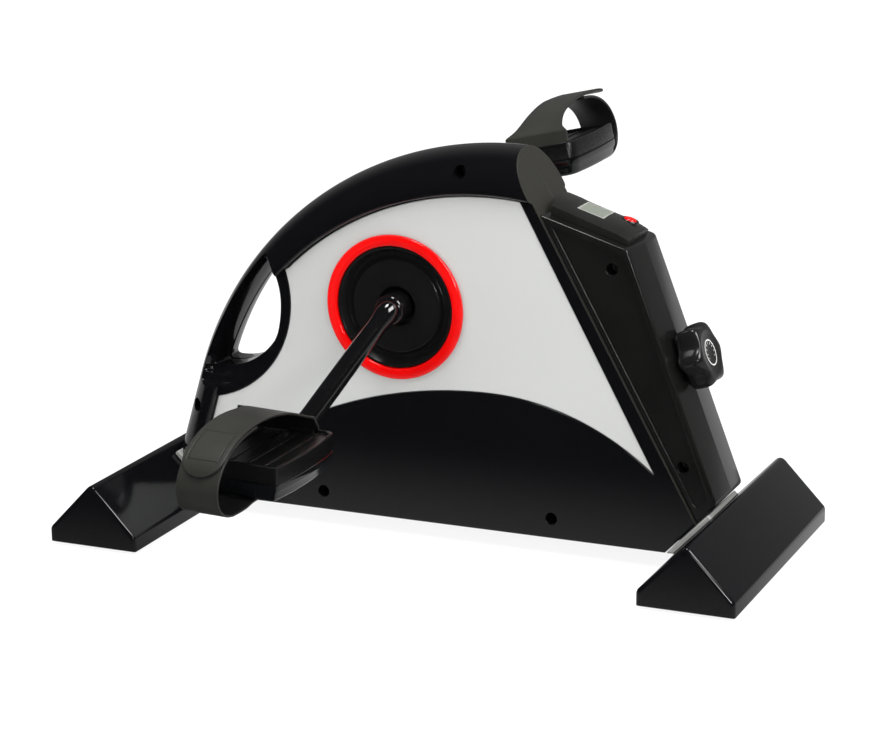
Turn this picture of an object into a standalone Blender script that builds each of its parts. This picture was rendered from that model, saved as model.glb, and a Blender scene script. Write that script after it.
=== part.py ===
"""Mini exercise bike, for pedalling from a chair. Metres, +Z up, +X towards the sitting user.

-Y is the user's left side. The origin lies on the floor, midway between the two feet.
"""

import math

import bmesh
import bpy
import numpy as np
from mathutils import Matrix, Vector

# Fits and walls
GAP = 0.0003
SEAM = 0.00015
WALL = 0.0025
RUNNING_FIT = 0.00009
TURN_STEPS = 20
AXLE_STEPS = 24

# Feet
FOOT_SPACING = 0.4602
FOOT_WIDTH = 0.0736
FOOT_SIDE = 0.0136
FOOT_RIDGE = 0.0521
FOOT_RIDGE_RADIUS = 0.006
CONSOLE_FOOT_LENGTH = 0.237
HANDLE_FOOT_LENGTH = 0.3025
FOOT_WALL = 0.003
FOOT_EDGE = 0.0018
SADDLE_END = 0.0115
PAD_HEIGHT = 0.002
PAD_LENGTH = 0.024
PAD_WIDTH = 0.050
PAD_INSET = 0.012

# Frame
BAR_WIDTH = 0.030
BAR_HEIGHT = 0.015
TUBE_WALL = 0.0016
RAIL_WIDTH = 0.024
RAIL_HEIGHT = 0.017
POST_LENGTH = 0.024
PLATE = 0.003
FOOT_BOLT_RADIUS = 0.004

# Housing, seen from the side
ARCH_RADIUS = 0.2663
ARCH_X = 0.0498
ARCH_Z = 0.0380
ARCH_START = 78.0
ARCH_STEPS = 16
ARCH_HALF_WIDTH = 0.0375
CREST_BAND = 0.0310
STRUT_BAND = 0.0240
BAND_LIP = 0.0033
STRUT_LEAN = 16.7
HOUSING_HALF = 0.0335
HOUSING_FLOOR = 0.0137
CREST_X = 0.0640
CREST_LEAN = 29.2
SWEEP_BACK = 0.075
FOOT_CLEARANCE = 0.005
HOUSING_CHAMFER = 0.0015

# Hand grip opening
GRIP_THICKNESS = 0.0155
OPENING_RADIUS = 0.0575
OPENING_X = -0.1849
OPENING_Z = 0.1749
RIM_RADIUS = 0.0823
RIM_X = -0.1990
RIM_Z = 0.1760

# Side panel and the black field below it
PANEL_THICKNESS = 0.0016
PANEL_DEPTH = 0.0008
PANEL_MARGIN = 0.0012
PANEL_END = 0.0103
PANEL_LEAN = 28.4
FIELD_TOP = 0.1215
FIELD_TOP_X = 0.0450
FIELD_LEFT_RADIUS = 0.345
FIELD_RIGHT_RADIUS = 0.204

# Bezel ring and round cover
RING_RADIUS = 0.0556
RING_INNER = 0.0472
RING_RISE = 0.0034
RING_STEPS = 28
COVER_DISC_RADIUS = 0.0356
COVER_DISH = 0.0045
COVER_WALL = 0.0018
CRANK_HOLE = 0.0150

# Crank
CRANK_X = -0.0292
CRANK_Z = 0.1807
CRANK_LENGTH = 0.0859
CRANK_ANGLE = 244.7
AXLE_RADIUS = 0.0075
AXLE_END_RADIUS = 0.0060
HUB_RADIUS = 0.0120
HUB_IN = 0.0265
HUB_OUT = 0.0470
HUB_CAP = 0.0035
ROD_RADIUS = 0.0078
ROD_BEND = 0.014
ARM_END_IN = 0.1260
ARM_END_OUT = 0.1445
ARM_END_RADIUS = 0.0105
ARM_EDGE = 0.0013
SPINDLE_IN = 0.1310
SPINDLE_CAP = 0.006

# Pedals
PEDAL_MIDDLE = 0.1941
PEDAL_WIDTH = 0.0960
PEDAL_LENGTH = 0.0788
PEDAL_HEIGHT = 0.0264
PEDAL_BULGE = 0.0030
PEDAL_CORNER = 0.006
PEDAL_TAPER = 0.0035
LEFT_PEDAL_PITCH = 2.1
RIGHT_PEDAL_PITCH = -12.9
SPINDLE_RADIUS = 0.0050
TRAY_DEPTH = 0.0022
TRAY_RIM = 0.0030
TREAD_COUNT = 5
TREAD_WIDTH = 0.0030
STRAP_THICKNESS = 0.0022
STRAP_INSET = 0.0032
STRAP_FRONT = 0.0240
STRAP_BACK = -0.0080
STRAP_SLOT_DEPTH = 0.0065
STRAP_TONGUE = (0.004, 0.024)

# Console box
BOX_HALF = 0.0317
BOX_FRONT_X = 0.1568
BOX_FRONT_Z = 0.2382
BOX_FRONT_LEAN = 21.0
BOX_TOP_SLOPE = 17.2
BOX_RIM = 0.0045
BOX_FOOT_RIM = 0.0090
BOX_SIDE_RECESS = 0.0015

# Drive
PULLEY_RADIUS = 0.0688
PULLEY_WIDTH = 0.009
PULLEY_IN = 0.0150
BELT_THICKNESS = 0.0022
SMALL_PULLEY_RADIUS = 0.0135
BEARING_RADIUS = 0.0130
BEARING_WIDTH = 0.008
SHELL_TUBE_WALL = 0.0035
FLYWHEEL_X = 0.0850
FLYWHEEL_Z = 0.1080
FLYWHEEL_RADIUS = 0.060
FLYWHEEL_WIDTH = 0.010
FLYWHEEL_RIM = 0.014
FLYWHEEL_WEB = 0.004
SHAFT_RADIUS = 0.0050
SMALL_BEARING_RADIUS = 0.0095

# Brake
PIN_X = 0.1600
PIN_Z = 0.0560
PIN_RADIUS = 0.0030
BRACKET_SHEET = 0.0020
BRACKET_FLANGE = 0.0035
BRAKE_GAP = 0.0015
MAGNET_THICKNESS = 0.0035
BRACKET_START = -22.0
BRACKET_END = 42.0
BRACKET_SWING = 3.0
SPRING_WIRE = 0.0006
SPRING_TURNS = 4

# Tension knob
KNOB_HEIGHT = 0.1534
KNOB_RADIUS = 0.0255
KNOB_TALL = 0.0210
KNOB_LOBES = 6
KNOB_WAIST = 0.0052
KNOB_SHAFT_RADIUS = 0.0040
CAM_RADIUS = 0.0110
CAM_BACK = 0.0080
CAM_TURN = 300.0
CAM_FOLLOWER = 0.0064
CAM_FRONT = 0.0017
FOLLOWER_RADIUS = 0.0011

# Computer
COMPUTER_START = 0.0022
COMPUTER_LENGTH = 0.0620
COMPUTER_WIDTH = 0.0440
COMPUTER_HEIGHT = 0.0098
COMPUTER_HUMP = 0.0012
LENS_LENGTH = 0.0215
LENS_WIDTH = 0.0232
LENS_THICKNESS = 0.0012
LENS_AT = 0.0254
BUTTON_AT = 0.0508
BUTTON_ACROSS = 0.0065
BUTTON_LENGTH = 0.0100
BUTTON_WIDTH = 0.0085
BUTTON_RISE = 0.0016
BUTTON_TRAVEL = 0.0010
BUTTON_DEEP = 0.0030

# Screws through the left half of the housing: side view position and how deep the head sits
SCREW_RECESS_RADIUS = 0.0046
SCREW_HEAD_RADIUS = 0.0036
SCREW_HEAD_HEIGHT = 0.0024
SCREW_SHANK_RADIUS = 0.0013
SCREW_WALL = 0.0020
SCREW_SEAT = 0.0180
SCREW_REACH = 0.0080
HOUSING_SCREWS = {
    "crest_screw": (0.0239, 0.2873),
    "strut_screw": (-0.2005, 0.0865),
    "front_floor_screw": (0.0970, 0.0294),
    "rear_floor_screw": (-0.0915, 0.0287),
}
BOX_SCREWS = {
    "box_top_screw": (0.1420, 0.2236),
    "box_low_screw": (0.1984, 0.0800),
}

# Colour, roughness and metallic of each finish
FINISHES = {
    "gloss_black": ((0.012, 0.012, 0.013), 0.12, 0.0),
    "matte_black": ((0.035, 0.035, 0.033), 0.55, 0.0),
    "satin_silver": ((0.62, 0.62, 0.61), 0.38, 0.35),
    "red": ((0.72, 0.02, 0.02), 0.30, 0.0),
    "rubber": ((0.040, 0.040, 0.038), 0.70, 0.0),
    "steel": ((0.50, 0.50, 0.50), 0.35, 1.0),
    "painted_steel": ((0.020, 0.020, 0.022), 0.35, 0.0),
    "zinc": ((0.60, 0.60, 0.57), 0.40, 1.0),
    "lens_grey": ((0.24, 0.26, 0.22), 0.15, 0.0),
    "magnet": ((0.10, 0.10, 0.11), 0.45, 0.6),
}


def direction(degrees):
    """Unit vector in the side view, turned up from +X."""
    return np.array([math.cos(math.radians(degrees)), math.sin(math.radians(degrees))])


def meeting(p, u, q, v):
    """Where the line through p along u meets the line through q along v, in the side view."""
    s, _ = np.linalg.solve(np.array([[u[0], -v[0]], [u[1], -v[1]]]), np.subtract(q, p))
    return np.add(p, np.multiply(s, u))


def arc(centre, radius, start, end, steps):
    angles = np.radians(np.linspace(start, end, steps + 1))
    return [(centre[0] + radius * math.cos(a), centre[1] + radius * math.sin(a)) for a in angles]


def circle_meeting(c1, r1, c2, r2, left):
    """One of the two crossings of two circles, the one left or right of the line from c1 to c2."""
    away = np.subtract(c2, c1)
    apart = np.linalg.norm(away)
    along = (r1 * r1 - r2 * r2 + apart * apart) / (2 * apart)
    across = math.sqrt(r1 * r1 - along * along) * (1 if left else -1)
    unit = away / apart
    return np.array(c1) + along * unit + across * np.array([-unit[1], unit[0]])


def cross(a, b):
    return a[0] * b[1] - a[1] * b[0]


def angle_of(point, centre):
    return math.degrees(math.atan2(point[1] - centre[1], point[0] - centre[0])) % 360


def offset(outline, distance):
    """The outline moved outwards, each corner along its mitre. The outline runs anticlockwise."""
    points = np.array(outline, float)
    ahead = np.roll(points, -1, axis=0) - points
    ahead /= np.linalg.norm(ahead, axis=1)[:, None]
    normal = np.stack([ahead[:, 1], -ahead[:, 0]], axis=1)
    before = np.roll(normal, 1, axis=0)
    mitre = (normal + before) / (1 + np.sum(normal * before, axis=1))[:, None]
    return points + distance * mitre


def bent(corners, radius, steps=6):
    """An open path in space through the corners, each inner corner swept round."""
    points = [np.array(p, float) for p in corners]
    result = [points[0]]
    for i in range(1, len(points) - 1):
        a = points[i] + (points[i - 1] - points[i]) * radius / np.linalg.norm(points[i - 1] - points[i])
        b = points[i] + (points[i + 1] - points[i]) * radius / np.linalg.norm(points[i + 1] - points[i])
        for t in np.linspace(0, 1, steps + 1):
            result.append((1 - t) ** 2 * a + 2 * t * (1 - t) * points[i] + t * t * b)
    result.append(points[-1])
    return result


def spline(points, steps):
    """A smooth open curve through the points, as a list of points."""
    p = [np.array(q, float) for q in points]
    p = [2 * p[0] - p[1], *p, 2 * p[-1] - p[-2]]
    result = []
    for i in range(1, len(p) - 2):
        for t in np.arange(steps) / steps:
            a = 2 * p[i]
            b = (p[i + 1] - p[i - 1]) * t
            c = (2 * p[i - 1] - 5 * p[i] + 4 * p[i + 1] - p[i + 2]) * t * t
            d = (3 * p[i] - p[i - 1] - 3 * p[i + 1] + p[i + 2]) * t**3
            result.append((a + b + c + d) / 2)
    result.append(p[-2])
    return result


def skin(loops, ring=False):
    """A closed solid over loops of points: capped at both ends, or joined end to end as a ring."""
    bm = bmesh.new()
    rows = [[bm.verts.new(p) for p in loop] for loop in loops]
    pairs = list(zip(rows, rows[1:] + rows[:1] if ring else rows[1:]))
    for low, high in pairs:
        for i in range(len(low)):
            j = (i + 1) % len(low)
            bm.faces.new((low[i], low[j], high[j], high[i]))
    if not ring:
        bm.faces.new(rows[0][::-1])
        bm.faces.new(rows[-1])
    bmesh.ops.recalc_face_normals(bm, faces=bm.faces)
    return bm


def prism(outline, y0, y1):
    """A side view outline carried from y0 to y1."""
    return skin([[(x, y, z) for x, z in outline] for y in (y0, y1)])


def carried(outline_at, side, distances):
    """A solid whose side view outline depends on the distance from the middle plane."""
    return skin([[(x, side * d, z) for x, z in outline_at(max(d, 0.0))] for d in distances])


def moved_edges(outline, distances):
    """A polygon with each edge moved outwards by its own distance. Edge i starts at corner i."""
    points = [np.array(p, float) for p in outline]
    count = len(points)
    ahead = [points[(i + 1) % count] - points[i] for i in range(count)]
    lines = []
    for i in range(count):
        unit = ahead[i] / np.linalg.norm(ahead[i])
        lines.append((points[i] + distances[i] * np.array([unit[1], -unit[0]]), unit))
    return [meeting(*lines[i - 1], *lines[i]) for i in range(count)]


def tube_prism(outer, inner, y0, y1):
    """A side view wall between two outlines that have the same number of points."""
    loops = [(outer, y0), (outer, y1), (inner, y1), (inner, y0)]
    return skin([[(x, y, z) for x, z in line] for line, y in loops], ring=True)


def axis_frame(at, towards):
    return Matrix.Translation(Vector(at)) @ Vector(towards).to_track_quat("Z", "Y").to_matrix().to_4x4()


def turned(profile, at, towards, steps=TURN_STEPS, hollow=False):
    """A profile of (radius, height) turned round the axis. A hollow one is a closed outline off the axis."""
    place = axis_frame(at, towards)
    angles = [2 * math.pi * k / steps for k in range(steps)]
    loops = [[place @ Vector((r * math.cos(a), r * math.sin(a), h)) for a in angles] for r, h in profile]
    return skin(loops, ring=hollow)


def rod(radius, start, end, at, towards, steps=TURN_STEPS):
    return turned([(radius, start), (radius, end)], at, towards, steps)


def swept(path, section, side):
    """A section of (side, up) points carried along a path. side is the direction that stays level."""
    path = [Vector(p) for p in path]
    side = Vector(side).normalized()
    loops = []
    for i, point in enumerate(path):
        ahead = (path[min(i + 1, len(path) - 1)] - path[max(i - 1, 0)]).normalized()
        up = side.cross(ahead).normalized()
        level = ahead.cross(up)
        loops.append([point + level * a + up * b for a, b in section])
    return skin(loops)


def block(low, high):
    (x0, y0, z0), (x1, y1, z1) = low, high
    return prism([(x0, z0), (x1, z0), (x1, z1), (x0, z1)], y0, y1)


def clear_scene():
    for thing in list(bpy.data.objects):
        bpy.data.objects.remove(thing)


def finish_material(name):
    found = bpy.data.materials.get(name)
    if found:
        return found
    colour, roughness, metallic = FINISHES[name]
    made = bpy.data.materials.new(name)
    made.use_nodes = True
    shader = made.node_tree.nodes["Principled BSDF"]
    shader.inputs["Base Color"].default_value = (*colour, 1)
    shader.inputs["Roughness"].default_value = roughness
    shader.inputs["Metallic"].default_value = metallic
    return made


def place(name, bm, finish=None, parent=None):
    """Puts the mesh in the scene as one piece. With no finish it is a cutter, which no render shows."""
    mesh = bpy.data.meshes.new(name)
    bm.to_mesh(mesh)
    bm.free()
    piece = bpy.data.objects.new(name, mesh)
    bpy.context.scene.collection.objects.link(piece)
    if finish:
        mesh.materials.append(finish_material(finish))
        mesh.shade_smooth()
        mesh.set_sharp_from_angle(angle=math.radians(30))
    else:
        piece.hide_render = True
        piece.display_type = "WIRE"
    piece.parent = parent
    return piece


def change(piece, operation, *tools):
    """Cuts, joins or crosses the piece with each tool in turn."""
    for bm in tools:
        tool = bm
        if not isinstance(bm, bpy.types.Object):
            tool = place(f"{piece.name}_tool_{len(piece.modifiers)}", bm, parent=piece.parent)
        step = piece.modifiers.new(f"{operation.lower()}_{len(piece.modifiers)}", "BOOLEAN")
        step.operation = operation
        step.solver = "EXACT"
        step.object = tool
    return piece


def cut(piece, *tools):
    return change(piece, "DIFFERENCE", *tools)


def join(piece, *tools):
    return change(piece, "UNION", *tools)


def axis_empty(name, at, parent=None, pitch=0.0):
    empty = bpy.data.objects.new(name, None)
    bpy.context.scene.collection.objects.link(empty)
    empty.empty_display_size = 0.02
    empty.parent = parent
    empty.location = Vector(at) - (parent.matrix_world.translation if parent else Vector())
    empty.rotation_euler = (0, math.radians(pitch), 0)
    bpy.context.view_layer.update()
    return empty


def side_name(side):
    return "left" if side < 0 else "right"


# Housing outlines in the side view, each a list of (x, z) running anticlockwise

FOOT_HALF = FOOT_WIDTH / 2
FOOT_X = FOOT_SPACING / 2
FOOT_SLOPE = math.degrees(math.atan2(FOOT_RIDGE - FOOT_SIDE, FOOT_HALF))
CREST_DIRECTION = direction(CREST_LEAN - 90)
CREST_TOP = (CREST_X, ARCH_Z + math.sqrt(ARCH_RADIUS**2 - (CREST_X - ARCH_X) ** 2))
STRUT_END_ANGLE = 180 - STRUT_LEAN
STRUT_LENGTH = (ARCH_Z + ARCH_RADIUS * math.sin(math.radians(STRUT_LEAN)) - FOOT_SIDE) / math.cos(
    math.radians(STRUT_LEAN)
)


def foot_slope_line(side, clearance):
    """A point and a direction of the slope of one foot that faces the housing, moved off by the clearance."""
    along = direction(FOOT_SLOPE)
    ridge = np.array([FOOT_X, FOOT_RIDGE])
    point = ridge + clearance * np.array([-along[1], along[0]])
    return point * np.array([side, 1]), along * np.array([side, 1])


def arch_stations(steps):
    """Points on the arch's outer line with their outward normals, from the crest to the foot of the strut."""
    stations = []
    for a in np.linspace(ARCH_START, STRUT_END_ANGLE, steps + 1):
        normal = direction(a)
        share = (a - ARCH_START) / (STRUT_END_ANGLE - ARCH_START)
        stations.append((np.array([ARCH_X, ARCH_Z]) + ARCH_RADIUS * normal, normal, share))
    last, normal, _ = stations[-1]
    down = np.array([-normal[1], normal[0]])
    for k in (0.5, 1.1):
        stations.append((last + down * STRUT_LENGTH * k, normal, 1.0))
    return stations


def band_depth(share):
    return CREST_BAND + (STRUT_BAND - CREST_BAND) * share


def arch_line(depth_share, extra, steps=ARCH_STEPS):
    """The arch's line moved inwards by a share of the band's depth and an extra distance."""
    line = []
    for point, normal, share in arch_stations(steps):
        line.append(point - normal * (band_depth(share) * depth_share + extra))
    return line


def clip_outline(inset, distance):
    """The housing's own space: above the floor, off the slopes of both feet, behind the crest plane."""
    side_edge = HOUSING_CHAMFER if distance > HOUSING_HALF - HOUSING_CHAMFER / 2 else 0.0
    right_point, right_along = foot_slope_line(1, FOOT_CLEARANCE + inset + side_edge)
    left_point, left_along = foot_slope_line(-1, FOOT_CLEARANCE + inset + side_edge)
    floor = (0, HOUSING_FLOOR + inset + side_edge)
    crest_back = crest_point(distance) - inset * direction(CREST_LEAN)
    top = np.array([0, CREST_TOP[1] + 0.03])
    outer = (-FOOT_X - FOOT_HALF, 0)
    return [
        meeting(floor, (1, 0), left_point, left_along),
        meeting(floor, (1, 0), right_point, right_along),
        meeting(right_point, right_along, crest_back, CREST_DIRECTION),
        meeting(top, (1, 0), crest_back, CREST_DIRECTION),
        (outer[0], top[1]),
        meeting(outer, (0, 1), left_point, left_along),
    ]


def crest_point(distance):
    """The top of the crest plane, which is swept back away from the middle."""
    return np.array(CREST_TOP) - np.array([SWEEP_BACK * distance, 0])


def core_outline(inset):
    """The flat-sided body of the housing, its upper edge buried in the arch band."""
    below = HOUSING_FLOOR - 0.03
    line = arch_line(0.7, 0.0)
    return [(FOOT_X, below), (FOOT_X, ARCH_Z), *line, (line[-1][0] + inset, below)]


def arch_band(side, inset):
    """The rounded arch and strut: a domed half section carried along the arch's line."""
    dome = [math.radians(a) for a in np.linspace(0, 90, 5 if inset else 7)]
    low = SEAM - inset
    half = ARCH_HALF_WIDTH - inset
    loops = []
    for point, normal, share in arch_stations(ARCH_STEPS // 2 if inset else ARCH_STEPS):
        depth = band_depth(share) - inset
        section = [(inset + depth * (1 - math.cos(a)), half * math.sin(a)) for a in dome[1:]]
        section.insert(0, (inset, low))
        if inset == 0:
            section.append((depth + 0.6 * BAND_LIP, half - 0.3 * BAND_LIP))
            section.append((depth + BAND_LIP, HOUSING_HALF - GAP))
        section.append((section[-1][0], low))
        loops.append([(*(point - normal * d), side * y) for d, y in section])
    return skin([[(x, y, z) for x, z, y in loop] for loop in loops])


def housing_form(name, side, inset, half, finish=None):
    """The housing's whole outer form, or the same form moved inwards by an inset."""
    low = SEAM if inset == 0 else -inset
    form = place(name, prism(core_outline(inset), side * low, side * half), finish)
    join(form, arch_band(side, inset))
    edges = (-2 * WALL, HOUSING_HALF - HOUSING_CHAMFER, HOUSING_HALF, ARCH_HALF_WIDTH + WALL)
    return change(form, "INTERSECT", carried(lambda d: clip_outline(inset, d), side, edges))


def opening_outline(thickness):
    """The hand grip opening: a round side towards the panel, and the grip's inner line."""
    centre = (OPENING_X, OPENING_Z)
    arch_centre = (ARCH_X, ARCH_Z)
    grip_radius = ARCH_RADIUS - thickness
    low = circle_meeting(centre, OPENING_RADIUS, arch_centre, grip_radius, left=False)
    high = circle_meeting(centre, OPENING_RADIUS, arch_centre, grip_radius, left=True)
    if low[1] > high[1]:
        low, high = high, low
    start = angle_of(low, centre) - 360
    round_side = arc(centre, OPENING_RADIUS, start, angle_of(high, centre), 16)
    grip_side = arc(arch_centre, grip_radius, angle_of(high, arch_centre), angle_of(low, arch_centre), 6)
    return round_side[:-1] + grip_side[:-1]


def opening_tool(side):
    """The cutter of the opening: the grip's underside is crowned, and the bottom steps out to the side."""
    loops = []
    for y, thickness, share in OPENING_LEVELS:
        base = np.array(opening_outline(GRIP_THICKNESS - thickness))
        ahead = np.roll(base, -1, axis=0) - np.roll(base, 1, axis=0)
        ahead /= np.linalg.norm(ahead, axis=1)[:, None]
        normal = np.stack([ahead[:, 1], -ahead[:, 0]], axis=1)
        flare = OPENING_SIDE_FLARE * (normal[:, 0] > -0.4)
        flare = flare + OPENING_LOW_FLARE * np.clip(-normal[:, 1], 0, 1) ** 2
        line = base + normal * (flare * share)[:, None]
        loops.append([(x, side * y, z) for x, z in line])
    return skin(loops)


OPENING_SIDE_FLARE = 0.0020
OPENING_LOW_FLARE = 0.0110
# Distance from the middle, how much thinner the grip is there, and how far the opening has flared
OPENING_LEVELS = [
    (-0.002, 0.0, 0.0),
    (0.010, 0.0009, 0.0),
    (0.020, 0.0034, 0.05),
    (0.0215, 0.0040, 0.35),
    (0.0275, 0.0075, 0.45),
    (0.0290, 0.0088, 0.95),
    (0.0450, 0.0250, 1.10),
]


def panel_outline():
    """The silver side panel: along the arch band, round the grip's rim, down the strut and over the field."""
    edge = PANEL_MARGIN + BAND_LIP
    rim = (RIM_X, RIM_Z)
    line = arch_line(1.0, edge)
    end = np.array(CREST_TOP) - np.array([PANEL_END / math.cos(math.radians(CREST_LEAN)), 0])
    end_direction = direction(PANEL_LEAN - 90)
    top = [p for p in line if np.linalg.norm(np.subtract(p, rim)) > RIM_RADIUS and p[1] > RIM_Z]
    top = [p for p in top if cross(end_direction, np.subtract(p, end)) < 0]
    corner = meeting(top[0], np.subtract(top[0], top[1]), end, end_direction)
    strut = line[-3:]
    unit = np.subtract(strut[1], strut[0]) / np.linalg.norm(np.subtract(strut[1], strut[0]))
    down = np.subtract(strut[0], rim)
    nearest = down - np.dot(down, unit) * unit
    rim_low = np.array(rim) + nearest + unit * math.sqrt(RIM_RADIUS**2 - np.dot(nearest, nearest))
    rim_side = arc(rim, RIM_RADIUS, angle_of(top[-1], rim), angle_of(rim_low, rim) - 360, 12)
    left_centre = (FIELD_TOP_X, FIELD_TOP - FIELD_LEFT_RADIUS)
    right_centre = (FIELD_TOP_X, FIELD_TOP - FIELD_RIGHT_RADIUS)
    low_left = field_crossing(left_centre, FIELD_LEFT_RADIUS, strut[0], unit, -1)
    low_right = field_crossing(right_centre, FIELD_RIGHT_RADIUS, end, end_direction, 1)
    left_arc = arc(left_centre, FIELD_LEFT_RADIUS, angle_of(low_left, left_centre), 90, 9)
    right_arc = arc(right_centre, FIELD_RIGHT_RADIUS, 90, angle_of(low_right, right_centre), 9)
    return [*left_arc, *right_arc[1:], corner, *top[1:-1], *rim_side]


def field_crossing(centre, radius, point, along, side):
    """Where a line crosses the field's arc, on the wanted side of the arc's top."""
    along = np.array(along) / np.linalg.norm(along)
    from_centre = np.subtract(point, centre)
    middle = -np.dot(from_centre, along)
    half = math.sqrt(radius**2 - np.dot(from_centre, from_centre) + middle**2)
    ends = [np.add(point, (middle + s * half) * along) for s in (-1, 1)]
    return max(ends, key=lambda p: p[1] if side * (p[0] - centre[0]) > 0 else -1)


PANEL_OUT = HOUSING_HALF - PANEL_DEPTH
PANEL_IN = PANEL_OUT - PANEL_THICKNESS
PANEL_FLOOR = PANEL_IN - GAP
CAVITY_SIDE = PANEL_FLOOR - WALL


def screw_boss(side, x, z, start, end):
    radius = SCREW_RECESS_RADIUS + SCREW_WALL
    return rod(radius, start, end, (x, 0, z), (0, side, 0), 10)


def screw_hole(side, x, z, seat):
    """The recess of one screw, with the clearance hole of its shank down to the seam."""
    shank = SCREW_SHANK_RADIUS + GAP
    steps = [(shank, -0.002), (shank, seat), (SCREW_RECESS_RADIUS, seat), (SCREW_RECESS_RADIUS, 0.06)]
    return turned(steps, (x, 0, z), (0, side, 0), 12)


def boss_start(z):
    """Low bosses end on the side of the frame's rail, the others at the seam."""
    return RAIL_WIDTH / 2 + GAP if z < RAIL_TOP + SCREW_RECESS_RADIUS else SEAM


RAIL_FLOOR = PAD_HEIGHT + GAP + BAR_HEIGHT + GAP
RAIL_TOP = RAIL_FLOOR + RAIL_HEIGHT


def housing_shell(side):
    """One moulded half of the housing with its arch, grip, panel seat, cover seat and screw bosses."""
    name = f"{side_name(side)}_housing_shell"
    shell = housing_form(name, side, 0, HOUSING_HALF, "gloss_black")
    cavity = housing_form(f"{name}_cavity", side, WALL, CAVITY_SIDE)
    cut(cavity, rod(RIM_RADIUS - WALL, -0.06, 0.06, (RIM_X, 0, RIM_Z), (0, 1, 0), 28))
    cut(shell, cavity)
    bosses = None
    for x, z in HOUSING_SCREWS.values():
        boss = screw_boss(side, x, z, boss_start(z), ARCH_HALF_WIDTH + WALL)
        if bosses:
            join(bosses, boss)
        else:
            bosses = place(f"{name}_bosses", boss)
    change(bosses, "INTERSECT", housing_form(f"{name}_boss_form", side, WALL / 2, HOUSING_HALF - WALL / 2))
    join(shell, bosses)
    cut(shell, opening_tool(side))
    cut(shell, prism(offset(panel_outline(), GAP), side * PANEL_FLOOR, side * 0.05))
    cut(shell, rod(RING_INNER - COVER_WALL, 0.02, 0.05, (CRANK_X, 0, CRANK_Z), (0, side, 0), RING_STEPS))
    cut(shell, box_window(side))
    reach, beside = FOOT_SPACING, RAIL_WIDTH / 2 + GAP
    cut(shell, block((-reach, -beside, RAIL_FLOOR - GAP), (reach, beside, RAIL_TOP + GAP)))
    for x, z in HOUSING_SCREWS.values():
        if side < 0:
            cut(shell, screw_hole(side, x, z, max(SCREW_SEAT, boss_start(z) + WALL)))
        elif boss_start(z) == SEAM:
            cut(shell, pilot_hole(x, z))
    return shell


def pilot_hole(x, z):
    """The hole in the right half that takes the end of a screw."""
    return rod(SCREW_SHANK_RADIUS + GAP, -0.002, SCREW_REACH + GAP, (x, 0, z), (0, 1, 0), 8)


def box_window(side):
    """The hole in the housing's crest wall through which the brake reaches into the console box."""
    start = np.array(CREST_TOP) + CREST_DIRECTION * WINDOW_START
    end = np.array(CREST_TOP) + CREST_DIRECTION * WINDOW_END
    back = np.array([-2.5 * WALL, 0])
    forward = np.array([2.5 * WALL, 0])
    outline = [start + back, end + back, end + forward, start + forward]
    return prism(outline, -side * 0.002, side * WINDOW_HALF)


WINDOW_START = 0.150
WINDOW_END = 0.215
WINDOW_HALF = 0.0125


def side_panel(side):
    """The satin silver inlay, with a round hole that the bezel ring fills."""
    solid = prism(panel_outline(), side * PANEL_IN, side * PANEL_OUT)
    panel = place(f"{side_name(side)}_side_panel", solid, "satin_silver")
    hole = RING_INNER + RING_SPIGOT + GAP
    cut(panel, rod(hole, 0.02, 0.05, (CRANK_X, 0, CRANK_Z), (0, side, 0), RING_STEPS))
    return change(panel, "INTERSECT", prism(clip_outline(GAP, 0), side * 0.02, side * 0.05))


RING_SPIGOT = 0.0030


def bezel_ring(side):
    """The red ring: a rounded bead over the panel, and a spigot down to the shell."""
    base = PANEL_OUT + GAP
    top = base + RING_RISE
    outer, inner = RING_RADIUS, RING_INNER
    spigot = inner + RING_SPIGOT
    profile = [(inner, PANEL_IN), (spigot, PANEL_IN), (spigot, base), (outer, base)]
    bead = [(0.15, 0.60), (0.45, 1.0), (0.80, 0.95), (1.0, 0.55)]
    profile += [(outer + (inner - outer) * s, base + (top - base) * h) for s, h in bead]
    solid = turned(profile, (CRANK_X, 0, CRANK_Z), (0, side, 0), RING_STEPS, hollow=True)
    return place(f"{side_name(side)}_bezel_ring", solid, "red")


def round_cover(side):
    """The dished cover inside the ring: a flange on the shell, a dish and a raised disc with the crank's hole."""
    flange = RING_INNER - GAP
    sunk = RING_INNER - COVER_WALL - GAP
    floor = PANEL_FLOOR - COVER_DISH
    disc = PANEL_FLOOR - 0.0005
    wall = COVER_WALL
    step = 0.0020
    front = [
        (flange, PANEL_OUT + RING_RISE * 0.35),
        (flange - wall, PANEL_OUT + RING_RISE * 0.35),
        (sunk - wall - step, floor),
        (COVER_DISC_RADIUS + step, floor),
        (COVER_DISC_RADIUS, disc),
        (CRANK_HOLE, disc),
    ]
    back = [(CRANK_HOLE, floor - wall), (sunk, floor - wall), (sunk, PANEL_IN), (flange, PANEL_IN)]
    solid = turned(front + back, (CRANK_X, 0, CRANK_Z), (0, side, 0), RING_STEPS, hollow=True)
    return place(f"{side_name(side)}_round_cover", solid, "gloss_black")


# Console box outlines

BOX_REAR = np.array(CREST_TOP) + np.array([GAP / math.cos(math.radians(CREST_LEAN)), 0])
BOX_FRONT = np.array([BOX_FRONT_X, BOX_FRONT_Z])
BOX_FRONT_DIRECTION = direction(BOX_FRONT_LEAN - 90)
BOX_FRONT_NORMAL = direction(BOX_FRONT_LEAN)
BOX_TOP_DIRECTION = direction(-BOX_TOP_SLOPE)
BOX_TOP_NORMAL = direction(90 - BOX_TOP_SLOPE)


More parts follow.
